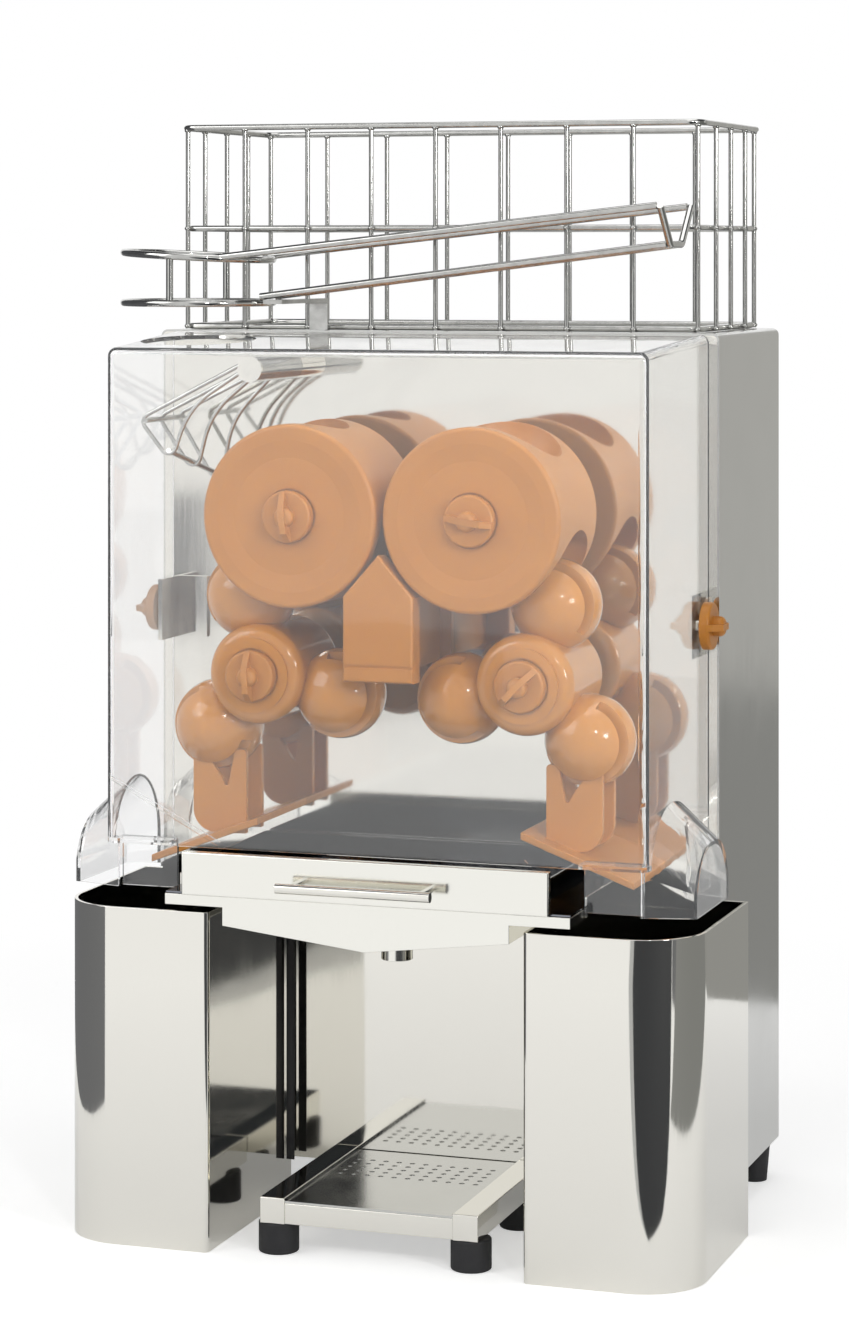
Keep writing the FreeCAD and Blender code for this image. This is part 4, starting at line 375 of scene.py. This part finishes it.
def home_of(node):
    """Body that carries a construction node, and the material slot that its finish comes from."""
    record = frame["record"]
    body = next(name for name, nodes in record["behaviour"]["bodies"].items() if node in nodes)
    slot = next(row["material_slot"] for row in record["subparts"] if row["node"] == node)
    return body, slot


def merged_copy(node):
    """Mesh of a construction node with its loose triangles joined."""
    mesh = frame["nodes"][node].data.copy()
    work = bmesh.new()
    work.from_mesh(mesh)
    bmesh.ops.remove_doubles(work, verts=work.verts, dist=merge_reach)
    return mesh, work


def rounded(point):
    """A point's place to a hundredth of a millimetre, for sorting."""
    return tuple(round(value, 5) for value in point)


def islands(node):
    """Corner points of each separate lump of a construction node, both in order of place."""
    mesh, work = merged_copy(node)
    waiting, lumps = set(work.verts), []
    while waiting:
        start = waiting.pop()
        lump, open_ends = [start], [start]
        while open_ends:
            vert = open_ends.pop()
            for edge in vert.link_edges:
                other = edge.other_vert(vert)
                if other in waiting:
                    waiting.remove(other)
                    lump.append(other)
                    open_ends.append(other)
        lumps.append(sorted((vert.co.copy() for vert in lump), key=rounded))
    work.free()
    bpy.data.meshes.remove(mesh)
    return sorted(lumps, key=lambda points: rounded(points[0]))


# Finishing pieces

def settle(piece, node):
    """Puts a finished piece in the place of a construction node, on its body."""
    body, slot = home_of(node)
    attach(piece, body)
    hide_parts(node)


def apply_modifiers(piece):
    """Leaves a piece with the plain mesh that its modifiers give."""
    bpy.context.view_layer.update()
    evaluated = piece.evaluated_get(bpy.context.evaluated_depsgraph_get())
    mesh = bpy.data.meshes.new_from_object(evaluated)
    unmodified = piece.data
    piece.modifiers.clear()
    piece.data = mesh
    bpy.data.meshes.remove(unmodified)
    mesh.name = piece.name


def eased_edges(node, finish_name, width):
    """Stands in for a construction node with the same shape, whose sharp edges are rounded as
    deburred or moulded ones are, so that they catch the light. Its flat faces keep their own
    normals, so that they mirror without a bend."""
    mesh, work = merged_copy(node)
    bmesh.ops.dissolve_limit(work, angle_limit=flat_angle, verts=work.verts, edges=work.edges)
    work.to_mesh(mesh)
    work.free()
    mesh.shade_smooth()
    piece = bpy.data.objects.new(node + "_eased", mesh)
    bpy.context.scene.collection.objects.link(piece)
    ease = piece.modifiers.new("ease", "BEVEL")
    ease.width = width
    ease.segments = edge_steps
    ease.limit_method = "ANGLE"
    ease.angle_limit = sharp_angle
    ease.harden_normals = True
    flat = piece.modifiers.new("flat", "WEIGHTED_NORMAL")
    flat.mode = "FACE_AREA"
    flat.keep_sharp = True
    apply_modifiers(piece)
    piece.data.materials.clear()
    piece.data.materials.append(finish(finish_name))
    settle(piece, node)


# Sizes and colours that a user may change

class JuicerStageSizes(bpy.types.PropertyGroup):
    """Where the camera stands, how large and bright the floor is, and what the steel mirrors."""
    camera_place: bpy.props.FloatVectorProperty(
        name="Camera Place", description="Where the camera stands", subtype="TRANSLATION",
        unit="LENGTH", default=(0.8125, -2.42615, 0.6884))
    camera_turn: bpy.props.FloatProperty(
        name="Camera Turn", description="How far the camera is turned about the upright axis",
        subtype="ANGLE", default=math.radians(18.7))
    lens: bpy.props.FloatProperty(
        name="Lens", description="Focal length in millimetres, on a picture 36 mm high",
        default=96.41)
    lens_shift: bpy.props.FloatProperty(
        name="Lens Shift", description="Downward shift of the picture, as a share of its height",
        default=-0.3125)
    floor_size: bpy.props.FloatProperty(
        name="Floor Size", description="Side of the floor", unit="LENGTH", default=8.0)
    floor_colour: bpy.props.FloatVectorProperty(
        name="Floor Colour", description="Colour of the floor", subtype="COLOR", size=4,
        default=linear("#F0F0F0"))
    floor_glow: bpy.props.FloatProperty(
        name="Floor Glow", description="White added to the floor where the camera sees it",
        default=0.45)
    mirror_glow: bpy.props.FloatProperty(
        name="Mirror Glow", description="White added to the floor where shiny surfaces mirror it",
        default=0.17)
    sky_light: bpy.props.FloatProperty(
        name="Sky Light", description="Strength of the white surroundings as light on the machine",
        default=0.27)
    white_left: bpy.props.FloatProperty(
        name="White Left", description="Where the white that steel mirrors ends at the left",
        unit="LENGTH", default=-0.6)
    white_right: bpy.props.FloatProperty(
        name="White Right", description="Where the white that steel mirrors ends at the right",
        unit="LENGTH", default=0.63)
    white_back: bpy.props.FloatProperty(
        name="White Back", description="Where the white that steel mirrors ends at the back",
        unit="LENGTH", default=0.75)


class JuicerColours(bpy.types.PropertyGroup):
    """Colours of the orange plastic, which clouds from a darker to a lighter one."""
    disc_dark: bpy.props.FloatVectorProperty(
        name="Disc Dark", description="Darker colour of discs, knobs and scrapers", subtype="COLOR",
        size=4, default=linear("#B27020"))
    disc_light: bpy.props.FloatVectorProperty(
        name="Disc Light", description="Lighter colour of discs, knobs and scrapers",
        subtype="COLOR", size=4, default=linear("#BF7D2C"))
    ball_dark: bpy.props.FloatVectorProperty(
        name="Ball Dark", description="Darker colour of the squeezing balls", subtype="COLOR",
        size=4, default=linear("#B8751C"))
    ball_light: bpy.props.FloatVectorProperty(
        name="Ball Light", description="Lighter colour of the squeezing balls", subtype="COLOR",
        size=4, default=linear("#C98426"))


class JuicerWireSizes(bpy.types.PropertyGroup):
    """Thickness of the basket's wires and of the welds that hold them."""
    upright_radius: bpy.props.FloatProperty(
        name="Upright Radius", description="Half the thickness of the basket's uprights",
        subtype="DISTANCE", unit="LENGTH", default=0.0017)
    bead_radius: bpy.props.FloatProperty(
        name="Bead Radius", description="Half the width of a weld bead", subtype="DISTANCE",
        unit="LENGTH", default=0.0026)


class JuicerShadeStripSizes(bpy.types.PropertyGroup):
    """Size of the black rubber strips beside the bins, which paint the shadow gap between each bin
    and the wall, and their gap.
    """
    shade_strip_width: bpy.props.FloatProperty(
        name="Shade Strip Width", description="Width of a strip", subtype="DISTANCE", unit="LENGTH",
        default=0.006)
    shade_strip_rise: bpy.props.FloatProperty(
        name="Shade Strip Rise", description="How far a strip stands out of the wall", subtype="DISTANCE",
        unit="LENGTH", default=0.0025)
    shade_strip_gap: bpy.props.FloatProperty(
        name="Shade Strip Gap", description="Gap between a strip and the bin beside it",
        subtype="DISTANCE", unit="LENGTH", default=0.001)


class JuicerEdgeSizes(bpy.types.PropertyGroup):
    """How far the sharp edges are rounded."""
    moulded_edge: bpy.props.FloatProperty(
        name="Moulded Edge", description="Rounding of the plastic pieces' edges",
        subtype="DISTANCE", unit="LENGTH", default=0.0008)
    sheet_edge: bpy.props.FloatProperty(
        name="Sheet Edge", description="Rounding of the steel sheets' edges", subtype="DISTANCE",
        unit="LENGTH", default=0.0003)
    rail_edge: bpy.props.FloatProperty(
        name="Rail Edge", description="Rounding of the stand's rails", subtype="DISTANCE",
        unit="LENGTH", default=0.0008)


# Stage

class JUICER_OT_stage(bpy.types.Operator):
    """Makes the floor, the surroundings, the lamps, the cards that steel mirrors and the camera"""
    bl_idname = "juicer.stage"
    bl_label = "Stage"

    def execute(self, context):
        sizes = context.scene.juicer_stage
        make_floor(sizes)
        make_world(sizes)
        make_lamps()
        make_cards(sizes)
        make_camera(sizes)
        return {"FINISHED"}


def seen_directly(tree):
    """1 for rays from the camera, off shiny metal or through the cover, and 0 for all others."""
    rays = tree.nodes.new("ShaderNodeLightPath").outputs
    seen = add(tree, "ShaderNodeMath", "Value",
               {0: rays["Is Camera Ray"], 1: rays["Is Glossy Ray"]}, operation="ADD")
    return add(tree, "ShaderNodeMath", "Value", {0: seen, 1: rays["Is Transmission Ray"]},
               operation="ADD", use_clamp=True)


def make_floor(sizes):
    """Plain pale floor that keeps the machine's shadow and runs out into the white background."""
    mesh = bpy.data.meshes.new("floor")
    half = sizes.floor_size / 2
    mesh.from_pydata([(-half, -half, 0), (half, -half, 0), (half, half, 0), (-half, half, 0)], [],
                     [(0, 1, 2, 3)])
    floor = bpy.data.objects.new("floor", mesh)
    bpy.context.scene.collection.objects.link(floor)
    material, tree, shader, place = start_finish(
        "white_studio_floor", sizes.floor_colour, Roughness=0.6, Specular_IOR_Level=0.0,
        Emission_Color=(1, 1, 1, 1))
    seen = seen_directly(tree)
    rays = tree.nodes.new("ShaderNodeLightPath").outputs
    mirrored = add(tree, "ShaderNodeMath", "Value",
                   {0: rays["Is Glossy Ray"], 1: sizes.mirror_glow}, operation="MULTIPLY")
    glow = add(tree, "ShaderNodeMath", "Value",
               {0: rays["Is Camera Ray"], 1: sizes.floor_glow, 2: mirrored},
               operation="MULTIPLY_ADD")
    tree.links.new(glow, shader.inputs["Emission Strength"])
    away = add(tree, "ShaderNodeVectorMath", "Value", {0: place}, operation="LENGTH")
    far = add(tree, "ShaderNodeMapRange", "Result",
              {"Value": away, "From Min": fade_start, "From Max": fade_end})
    far = add(tree, "ShaderNodeMath", "Value", {0: far, 1: seen}, operation="MULTIPLY")
    white = add(tree, "ShaderNodeEmission", "Emission", {"Color": (1, 1, 1, 1)})
    mixed = add(tree, "ShaderNodeMixShader", "Shader",
                {0: far, 1: shader.outputs["BSDF"], 2: white})
    tree.links.new(mixed, tree.nodes["Material Output"].inputs["Surface"])
    mesh.materials.append(material)


def make_world(sizes):
    """White surroundings: full white where they are seen or mirrored, and softer as light."""
    world = bpy.data.worlds.new("studio")
    bpy.context.scene.world = world
    world.use_nodes = True
    tree = world.node_tree
    strength = add(tree, "ShaderNodeMapRange", "Result",
                   {"Value": seen_directly(tree), "To Min": sizes.sky_light, "To Max": 1.0})
    tree.links.new(strength, tree.nodes["Background"].inputs["Strength"])
    tree.nodes["Background"].inputs["Color"].default_value = (1, 1, 1, 1)


def make_lamp(name, place, size, power):
    """Soft square lamp that faces the middle of the machine."""
    light = bpy.data.lights.new(name, "AREA")
    light.size = size
    light.energy = power
    lamp = bpy.data.objects.new(name, light)
    lamp.location = place
    aim = Vector((0, 0, aim_height)) - Vector(place)
    lamp.rotation_euler = aim.to_track_quat("-Z", "Y").to_euler()
    lamp.visible_camera = False
    bpy.context.scene.collection.objects.link(lamp)


def make_lamps():
    """A wide key lamp at the front left, one at the right, one above and a small one in front."""
    make_lamp("key_lamp", (-2.0, -2.0, 2.1), size=1.8, power=29)
    make_lamp("side_lamp", (2.0, -1.35, 0.95), size=0.36, power=14)
    make_lamp("top_lamp", (0.1, 0.1, 2.6), size=1.6, power=17)
    make_lamp("camera_lamp", (1.35, -2.2, 1.55), size=0.15, power=8)


def make_card(name, corners, colour, in_cover=False):
    """Flat card out of the picture, of an even colour, which only shiny surfaces mirror: those in
    the open, or those behind the clear cover."""
    material = bpy.data.materials.new(name)
    material.use_nodes = True
    shader = material.node_tree.nodes["Principled BSDF"]
    for socket, value in (("Base Color", (0, 0, 0, 1)), ("Roughness", 1.0),
                          ("Emission Color", linear(colour)), ("Emission Strength", 1.0)):
        shader.inputs[socket].default_value = value
    mesh = bpy.data.meshes.new(name)
    mesh.from_pydata(corners, [], [tuple(range(len(corners)))])
    mesh.materials.append(material)
    card = bpy.data.objects.new(name, mesh)
    bpy.context.scene.collection.objects.link(card)
    card.visible_camera = False
    card.visible_diffuse = False
    card.visible_shadow = False
    card.visible_glossy = not in_cover
    card.visible_transmission = in_cover


def make_cards(sizes):
    """The studio as the polished steel mirrors it. Low cards end the white floor at the left, right
    and back, and lay a dark strip with a soft near edge and a grey far one over its front right.
    Upright cards are its grey and dark walls, three small slate ones show only in the steel behind
    the cover, and one high card is its dim ceiling."""
    low, far, high = 0.003, 4.0, 3.4
    left, right, back = sizes.white_left, sizes.white_right, sizes.white_back
    floor_cards = {
        "left_floor_card": ("#66676A", [(-0.45, -0.46), (-2.97, -3.5), (-far, -3.5), (-far, far),
                                        (left, far), (left, 0.1), (-0.56, -0.19), (-0.5, -0.36)]),
        "right_floor_card": ("#7E7F7D", [(right, -0.35), (far, -0.8), (far, far), (right, back)]),
        "back_floor_card": ("#8F8F8C", [(left, back), (right, back), (far, far), (-far, far)]),
        "gap_floor_card": ("#626366", [(1.05, -0.5), (1.05, -0.4), (far, -0.8), (far, -1.6)]),
        "soft_floor_card": ("#B4B5B6", [(0.25, -0.26), (0.16, -1.15), (0.96, -far), (0.5, -far),
                                        (0.04, -1.14)]),
        "dark_floor_card": ("#181B21", [(0.25, -0.26), (0.34, -0.265), (0.6, -0.35), (far, -1.6),
                                        (far, -far), (0.96, -far), (0.16, -1.15)])}
    for name, (colour, outline) in floor_cards.items():
        make_card(name, [(x, y, low) for x, y in outline], colour)
    walls = {
        "left_wall_card": ("#5B5C5F", (-far, -3.5), (-far, far), low, high),
        "right_wall_card": ("#888985", (far, -0.8), (far, 2.2), low, high),
        "dark_wall_card": ("#1E2229", (0.5, -far), (2.8, -2.48), low, 1.5),
        "back_wall_card": ("#BDBCB8", (0.3, 3.0), (far, 3.0), low, 2.2)}
    slates = {
        "left_slate_card": ("#28313F", (-1.85, -3.6), (-1.62, -3.6), -0.3, 0.24),
        "middle_slate_card": ("#2A3142", (-1.05, -2.4), (-0.62, -2.4), 0.05, 0.18),
        "right_slate_card": ("#262F40", (0.5, -2.0), (0.665, -2.0), 0.1, 0.36)}
    for cards, in_cover in ((walls, False), (slates, True)):
        for name, (colour, (x0, y0), (x1, y1), z0, z1) in cards.items():
            corners = [(x0, y0, z0), (x1, y1, z0), (x1, y1, z1), (x0, y0, z1)]
            make_card(name, corners, colour, in_cover)
    ceiling = [(-far, -1.5, high), (far, -1.5, high), (far, far, high), (-far, far, high)]
    make_card("ceiling_card", ceiling, "#4C4D50")


def make_camera(sizes):
    """Camera at the photograph's place, level, with its picture shifted down."""
    data = bpy.data.cameras.new("camera")
    data.sensor_fit = "VERTICAL"
    data.sensor_height = film_height
    data.lens = sizes.lens
    data.shift_y = sizes.lens_shift
    camera = bpy.data.objects.new("camera", data)
    camera.location = sizes.camera_place
    camera.rotation_euler = (math.pi / 2, 0, sizes.camera_turn)
    bpy.context.scene.collection.objects.link(camera)
    bpy.context.scene.camera = camera


# Pieces

class JUICER_OT_cabinet(bpy.types.Operator):
    """Finishes the cabinet's sheets, feet and screws"""
    bl_idname = "juicer.cabinet"
    bl_label = "Cabinet"

    def execute(self, context):
        dress("satin", "cabinet_shell", "rear_cover", "base_plate")
        dress("polished", "bulkhead", "lower_front_panel", "machine_screws", "bulkhead_fittings")
        dress("rubber", "cabinet_feet")
        dress("black", "switch_body", "power_rocker", "inlet_socket", "interlock_switch",
              "interlock_plunger", "control_box")
        return {"FINISHED"}


class JUICER_OT_drive(bpy.types.Operator):
    """Finishes the gears, shafts, bearings, gearbox and motor inside the cabinet"""
    bl_idname = "juicer.drive"
    bl_label = "Drive"

    def execute(self, context):
        dress("machined", "gear_plate", "plate_spacers", "ball_bearings", "upper_shaft_left",
              "upper_shaft_right", "lower_shaft_left", "lower_shaft_right", "upper_gear_left",
              "upper_gear_right", "lower_gear_left", "lower_gear_right", "drive_pinion")
        dress("cast", "front_housings", "gearbox")
        dress("motor", "motor")
        dress("rubber", "shaft_seals")
        return {"FINISHED"}


class JUICER_OT_drums(bpy.types.Operator):
    """Finishes the squeezing drums, their knobs, the ejectors and the knife"""
    bl_idname = "juicer.drums"
    bl_label = "Drums"

    def execute(self, context):
        edge = context.scene.juicer_edges.moulded_edge
        dress("glossy_orange", "ball_drum_left", "ball_drum_right")
        dress("orange", "cup_drum_left", "cup_drum_right")
        for node in ("cup_knob_left", "cup_knob_right", "ball_knob_left", "ball_knob_right",
                     "ejector_left", "ejector_right", "knife_holder"):
            eased_edges(node, "orange", edge)
        dress("knife", "knife_blade")
        return {"FINISHED"}


class JUICER_OT_cover(bpy.types.Operator):
    """Finishes the clear cover and its clamp knobs"""
    bl_idname = "juicer.cover"
    bl_label = "Clear Cover"

    def execute(self, context):
        dress("clear", "front_cover")
        for node in ("cover_knob_left", "cover_knob_right"):
            eased_edges(node, "orange", context.scene.juicer_edges.moulded_edge)
        return {"FINISHED"}


def make_shade_strips(sizes):
    """Upright black rubber strips on the lower wall, beside each bin's inner side: painted shade
    for the shadow gap between the bin and the wall.
    """
    wall_low, bin_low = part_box("lower_front_panel")[0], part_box("peel_bin_right")[0]
    tank_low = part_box("juice_tank")[0]
    outer = bin_low[0] - sizes.shade_strip_gap
    inner = outer - sizes.shade_strip_width
    front, back = wall_low[1] - sizes.shade_strip_rise, wall_low[1]
    foot, top = wall_low[2] + sizes.shade_strip_gap, tank_low[2] - sizes.shade_strip_gap
    outline = ((inner, back), (inner, front), (outer, front), (outer, back))
    for name, side in (("shade_strip_right", 1), ("shade_strip_left", -1)):
        work = bmesh.new()
        low = [work.verts.new((side * x, y, foot)) for x, y in outline]
        high = [work.verts.new((vert.co.x, vert.co.y, top)) for vert in low]
        work.faces.new(low)
        work.faces.new(high)
        for index in range(4):
            onward = (index + 1) % 4
            work.faces.new((low[index], low[onward], high[onward], high[index]))
        bmesh.ops.recalc_face_normals(work, faces=work.faces)
        front_edges = [edge for edge in work.edges
                       if all(vert.co.y < (front + back) / 2 for vert in edge.verts)]
        bmesh.ops.bevel(work, geom=front_edges, offset=sizes.shade_strip_rise * strip_round,
                        segments=strip_steps, profile=quarter_circle, affect="EDGES")
        mesh = bpy.data.meshes.new(name)
        work.to_mesh(mesh)
        work.free()
        mesh.shade_smooth()
        mesh.set_sharp_from_angle(angle=smooth_angle)
        mesh.materials.append(finish("rubber"))
        piece = bpy.data.objects.new(name, mesh)
        bpy.context.scene.collection.objects.link(piece)
        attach(piece, "cabinet")


class JUICER_OT_trays(bpy.types.Operator):
    """Finishes the peel bins, pulp drawer, juice tank and stand"""
    bl_idname = "juicer.trays"
    bl_label = "Bins and Trays"

    def execute(self, context):
        edge = context.scene.juicer_edges.sheet_edge
        for node in ("peel_bin_left", "peel_bin_right", "drawer_handle"):
            eased_edges(node, "polished", edge)
        eased_edges("stand_frame", "polished", context.scene.juicer_edges.rail_edge)
        for node in ("drawer_front", "juice_tank"):
            eased_edges(node, "pressed", edge)
        dress("satin", "stand_plate")
        # Black strips beside the bins: painted shade for the gaps between the bins and the wall.
        make_shade_strips(context.scene.juicer_guides)
        dress("strainer", "pulp_drawer")
        dress("rubber", "stand_feet")
        return {"FINISHED"}


def wire_tree():
    """Geometry Nodes tree that draws a round wire along each edge it is given, and lays a weld bead
    at each loose point."""
    tree = bpy.data.node_groups.new("welded_wires", "GeometryNodeTree")
    sockets = {"Geometry": "Geometry", "Wire Radius": "Float", "Bead Radius": "Float",
               "Bead Height Share": "Float", "Sides": "Int", "Finish": "Material"}
    for name, kind in sockets.items():
        tree.interface.new_socket(name, in_out="INPUT", socket_type="NodeSocket" + kind)
    tree.interface.new_socket("Geometry", in_out="OUTPUT", socket_type="NodeSocketGeometry")
    given = tree.nodes.new("NodeGroupInput").outputs
    path = add(tree, "GeometryNodeMeshToCurve", "Curve", {"Mesh": given["Geometry"]})
    ring = add(tree, "GeometryNodeCurvePrimitiveCircle", "Curve",
               {"Resolution": given["Sides"], "Radius": given["Wire Radius"]}, mode="RADIUS")
    wires = add(tree, "GeometryNodeCurveToMesh", "Mesh",
                {"Curve": path, "Profile Curve": ring, "Fill Caps": True})
    neighbours = add(tree, "GeometryNodeInputMeshVertexNeighbors", "Vertex Count")
    loose = add(tree, "FunctionNodeCompare", "Result", {2: neighbours, 3: 0}, data_type="INT",
                operation="EQUAL")
    points = add(tree, "GeometryNodeMeshToPoints", "Points",
                 {"Mesh": given["Geometry"], "Selection": loose})
    bead = add(tree, "GeometryNodeMeshIcoSphere", "Mesh",
               {"Radius": given["Bead Radius"], "Subdivisions": 2})
    flat = add(tree, "ShaderNodeCombineXYZ", "Vector",
               {"X": 1.0, "Y": 1.0, "Z": given["Bead Height Share"]})
    beads = add(tree, "GeometryNodeInstanceOnPoints", "Instances",
                {"Points": points, "Instance": bead, "Scale": flat})
    joined = tree.nodes.new("GeometryNodeJoinGeometry")
    tree.links.new(wires, joined.inputs["Geometry"])
    tree.links.new(beads, joined.inputs["Geometry"])
    smooth = add(tree, "GeometryNodeSetShadeSmooth", "Geometry",
                 {"Geometry": joined.outputs["Geometry"]})
    real = add(tree, "GeometryNodeRealizeInstances", "Geometry", {"Geometry": smooth})
    dressed = add(tree, "GeometryNodeSetMaterial", "Geometry",
                  {"Geometry": real, "Material": given["Finish"]})
    tree.links.new(dressed, tree.nodes.new("NodeGroupOutput").inputs["Geometry"])
    return tree


def welded_wires(name, runs, welds, sizes, node):
    """Straight wires along runs and beads at welds, drawn by the wire tree, in a construction
    node's place."""
    points = [point for run in runs for point in run] + welds
    mesh = bpy.data.meshes.new(name)
    mesh.from_pydata(points, [(2 * i, 2 * i + 1) for i in range(len(runs))], [])
    piece = bpy.data.objects.new(name, mesh)
    bpy.context.scene.collection.objects.link(piece)
    drawn = piece.modifiers.new("wires", "NODES")
    drawn.node_group = bpy.data.node_groups.get("welded_wires") or wire_tree()
    names = {row.name: row.identifier for row in drawn.node_group.interface.items_tree
             if row.in_out == "INPUT"}
    for label, value in (*sizes.items(), ("Finish", finish("wire"))):
        drawn[names[label]] = value
    apply_modifiers(piece)
    settle(piece, node)


def straight_run(points):
    """Ends of a straight wire, from the two rings of points at its ends."""
    points = sorted(points, key=lambda point: point.z)
    half = len(points) // 2
    low = sum(points[:half], Vector()) / half
    high = sum(points[-half:], Vector()) / half
    return low, high


def make_basket(sizes):
    """The basket's uprights with a weld bead wherever one crosses a ring."""
    runs = [straight_run(points) for points in islands("basket_uprights")]
    heights = [sum(point.z for point in points) / len(points) for points in islands("basket_rings")]
    welds = []
    for low, high in runs:
        for height in heights:
            share = (height - low.z) / (high.z - low.z)
            if -weld_reach < share < 1 + weld_reach:
                welds.append(low.lerp(high, min(max(share, 0.0), 1.0)))
    welded_wires("basket_upright_wires", runs, welds,
                 {"Wire Radius": sizes.upright_radius, "Bead Radius": sizes.bead_radius,
                  "Bead Height Share": bead_height_share, "Sides": wire_sides}, "basket_uprights")


class JUICER_OT_wires(bpy.types.Operator):
    """Finishes the wire basket, the feed track and the feed gate"""
    bl_idname = "juicer.wires"
    bl_label = "Wires"

    def execute(self, context):
        dress("wire", "basket_rings", "basket_uprights", "drop_rings", "track_rods",
              "track_bracket", "feed_gate")
        make_basket(context.scene.juicer_wires)
        return {"FINISHED"}


# Panel and registration

class JUICER_PT_panel(bpy.types.Panel):
    """Lists the machine's sizes and colours, its pieces and its stage"""
    bl_label = "Orange Juicer"
    bl_idname = "JUICER_PT_panel"
    bl_space_type = "VIEW_3D"
    bl_region_type = "UI"
    bl_category = "Juicer"

    def draw(self, context):
        for name, group in groups.items():
            for value in group.__annotations__:
                self.layout.prop(getattr(context.scene, name), value)
        for operator in operators:
            self.layout.operator(operator.bl_idname)


groups = {"juicer_stage": JuicerStageSizes, "juicer_colours": JuicerColours,
          "juicer_wires": JuicerWireSizes, "juicer_guides": JuicerShadeStripSizes,
          "juicer_edges": JuicerEdgeSizes}
operators = (JUICER_OT_stage, JUICER_OT_cabinet, JUICER_OT_drive, JUICER_OT_drums, JUICER_OT_cover,
             JUICER_OT_trays, JUICER_OT_wires)
classes = (*groups.values(), *operators, JUICER_PT_panel)


def register():
    for cls in classes:
        bpy.utils.register_class(cls)
    for name, group in groups.items():
        setattr(bpy.types.Scene, name, bpy.props.PointerProperty(type=group))


def unregister():
    for name in groups:
        delattr(bpy.types.Scene, name)
    for cls in reversed(classes):
        bpy.utils.unregister_class(cls)


def main():
    register()
    bpy.context.scene.view_settings.view_transform = "Standard"
    bpy.ops.juicer.stage()
    bpy.ops.juicer.cabinet()
    bpy.ops.juicer.drive()
    bpy.ops.juicer.drums()
    bpy.ops.juicer.cover()
    bpy.ops.juicer.trays()
    bpy.ops.juicer.wires()


if __name__ == "__main__":
    main()
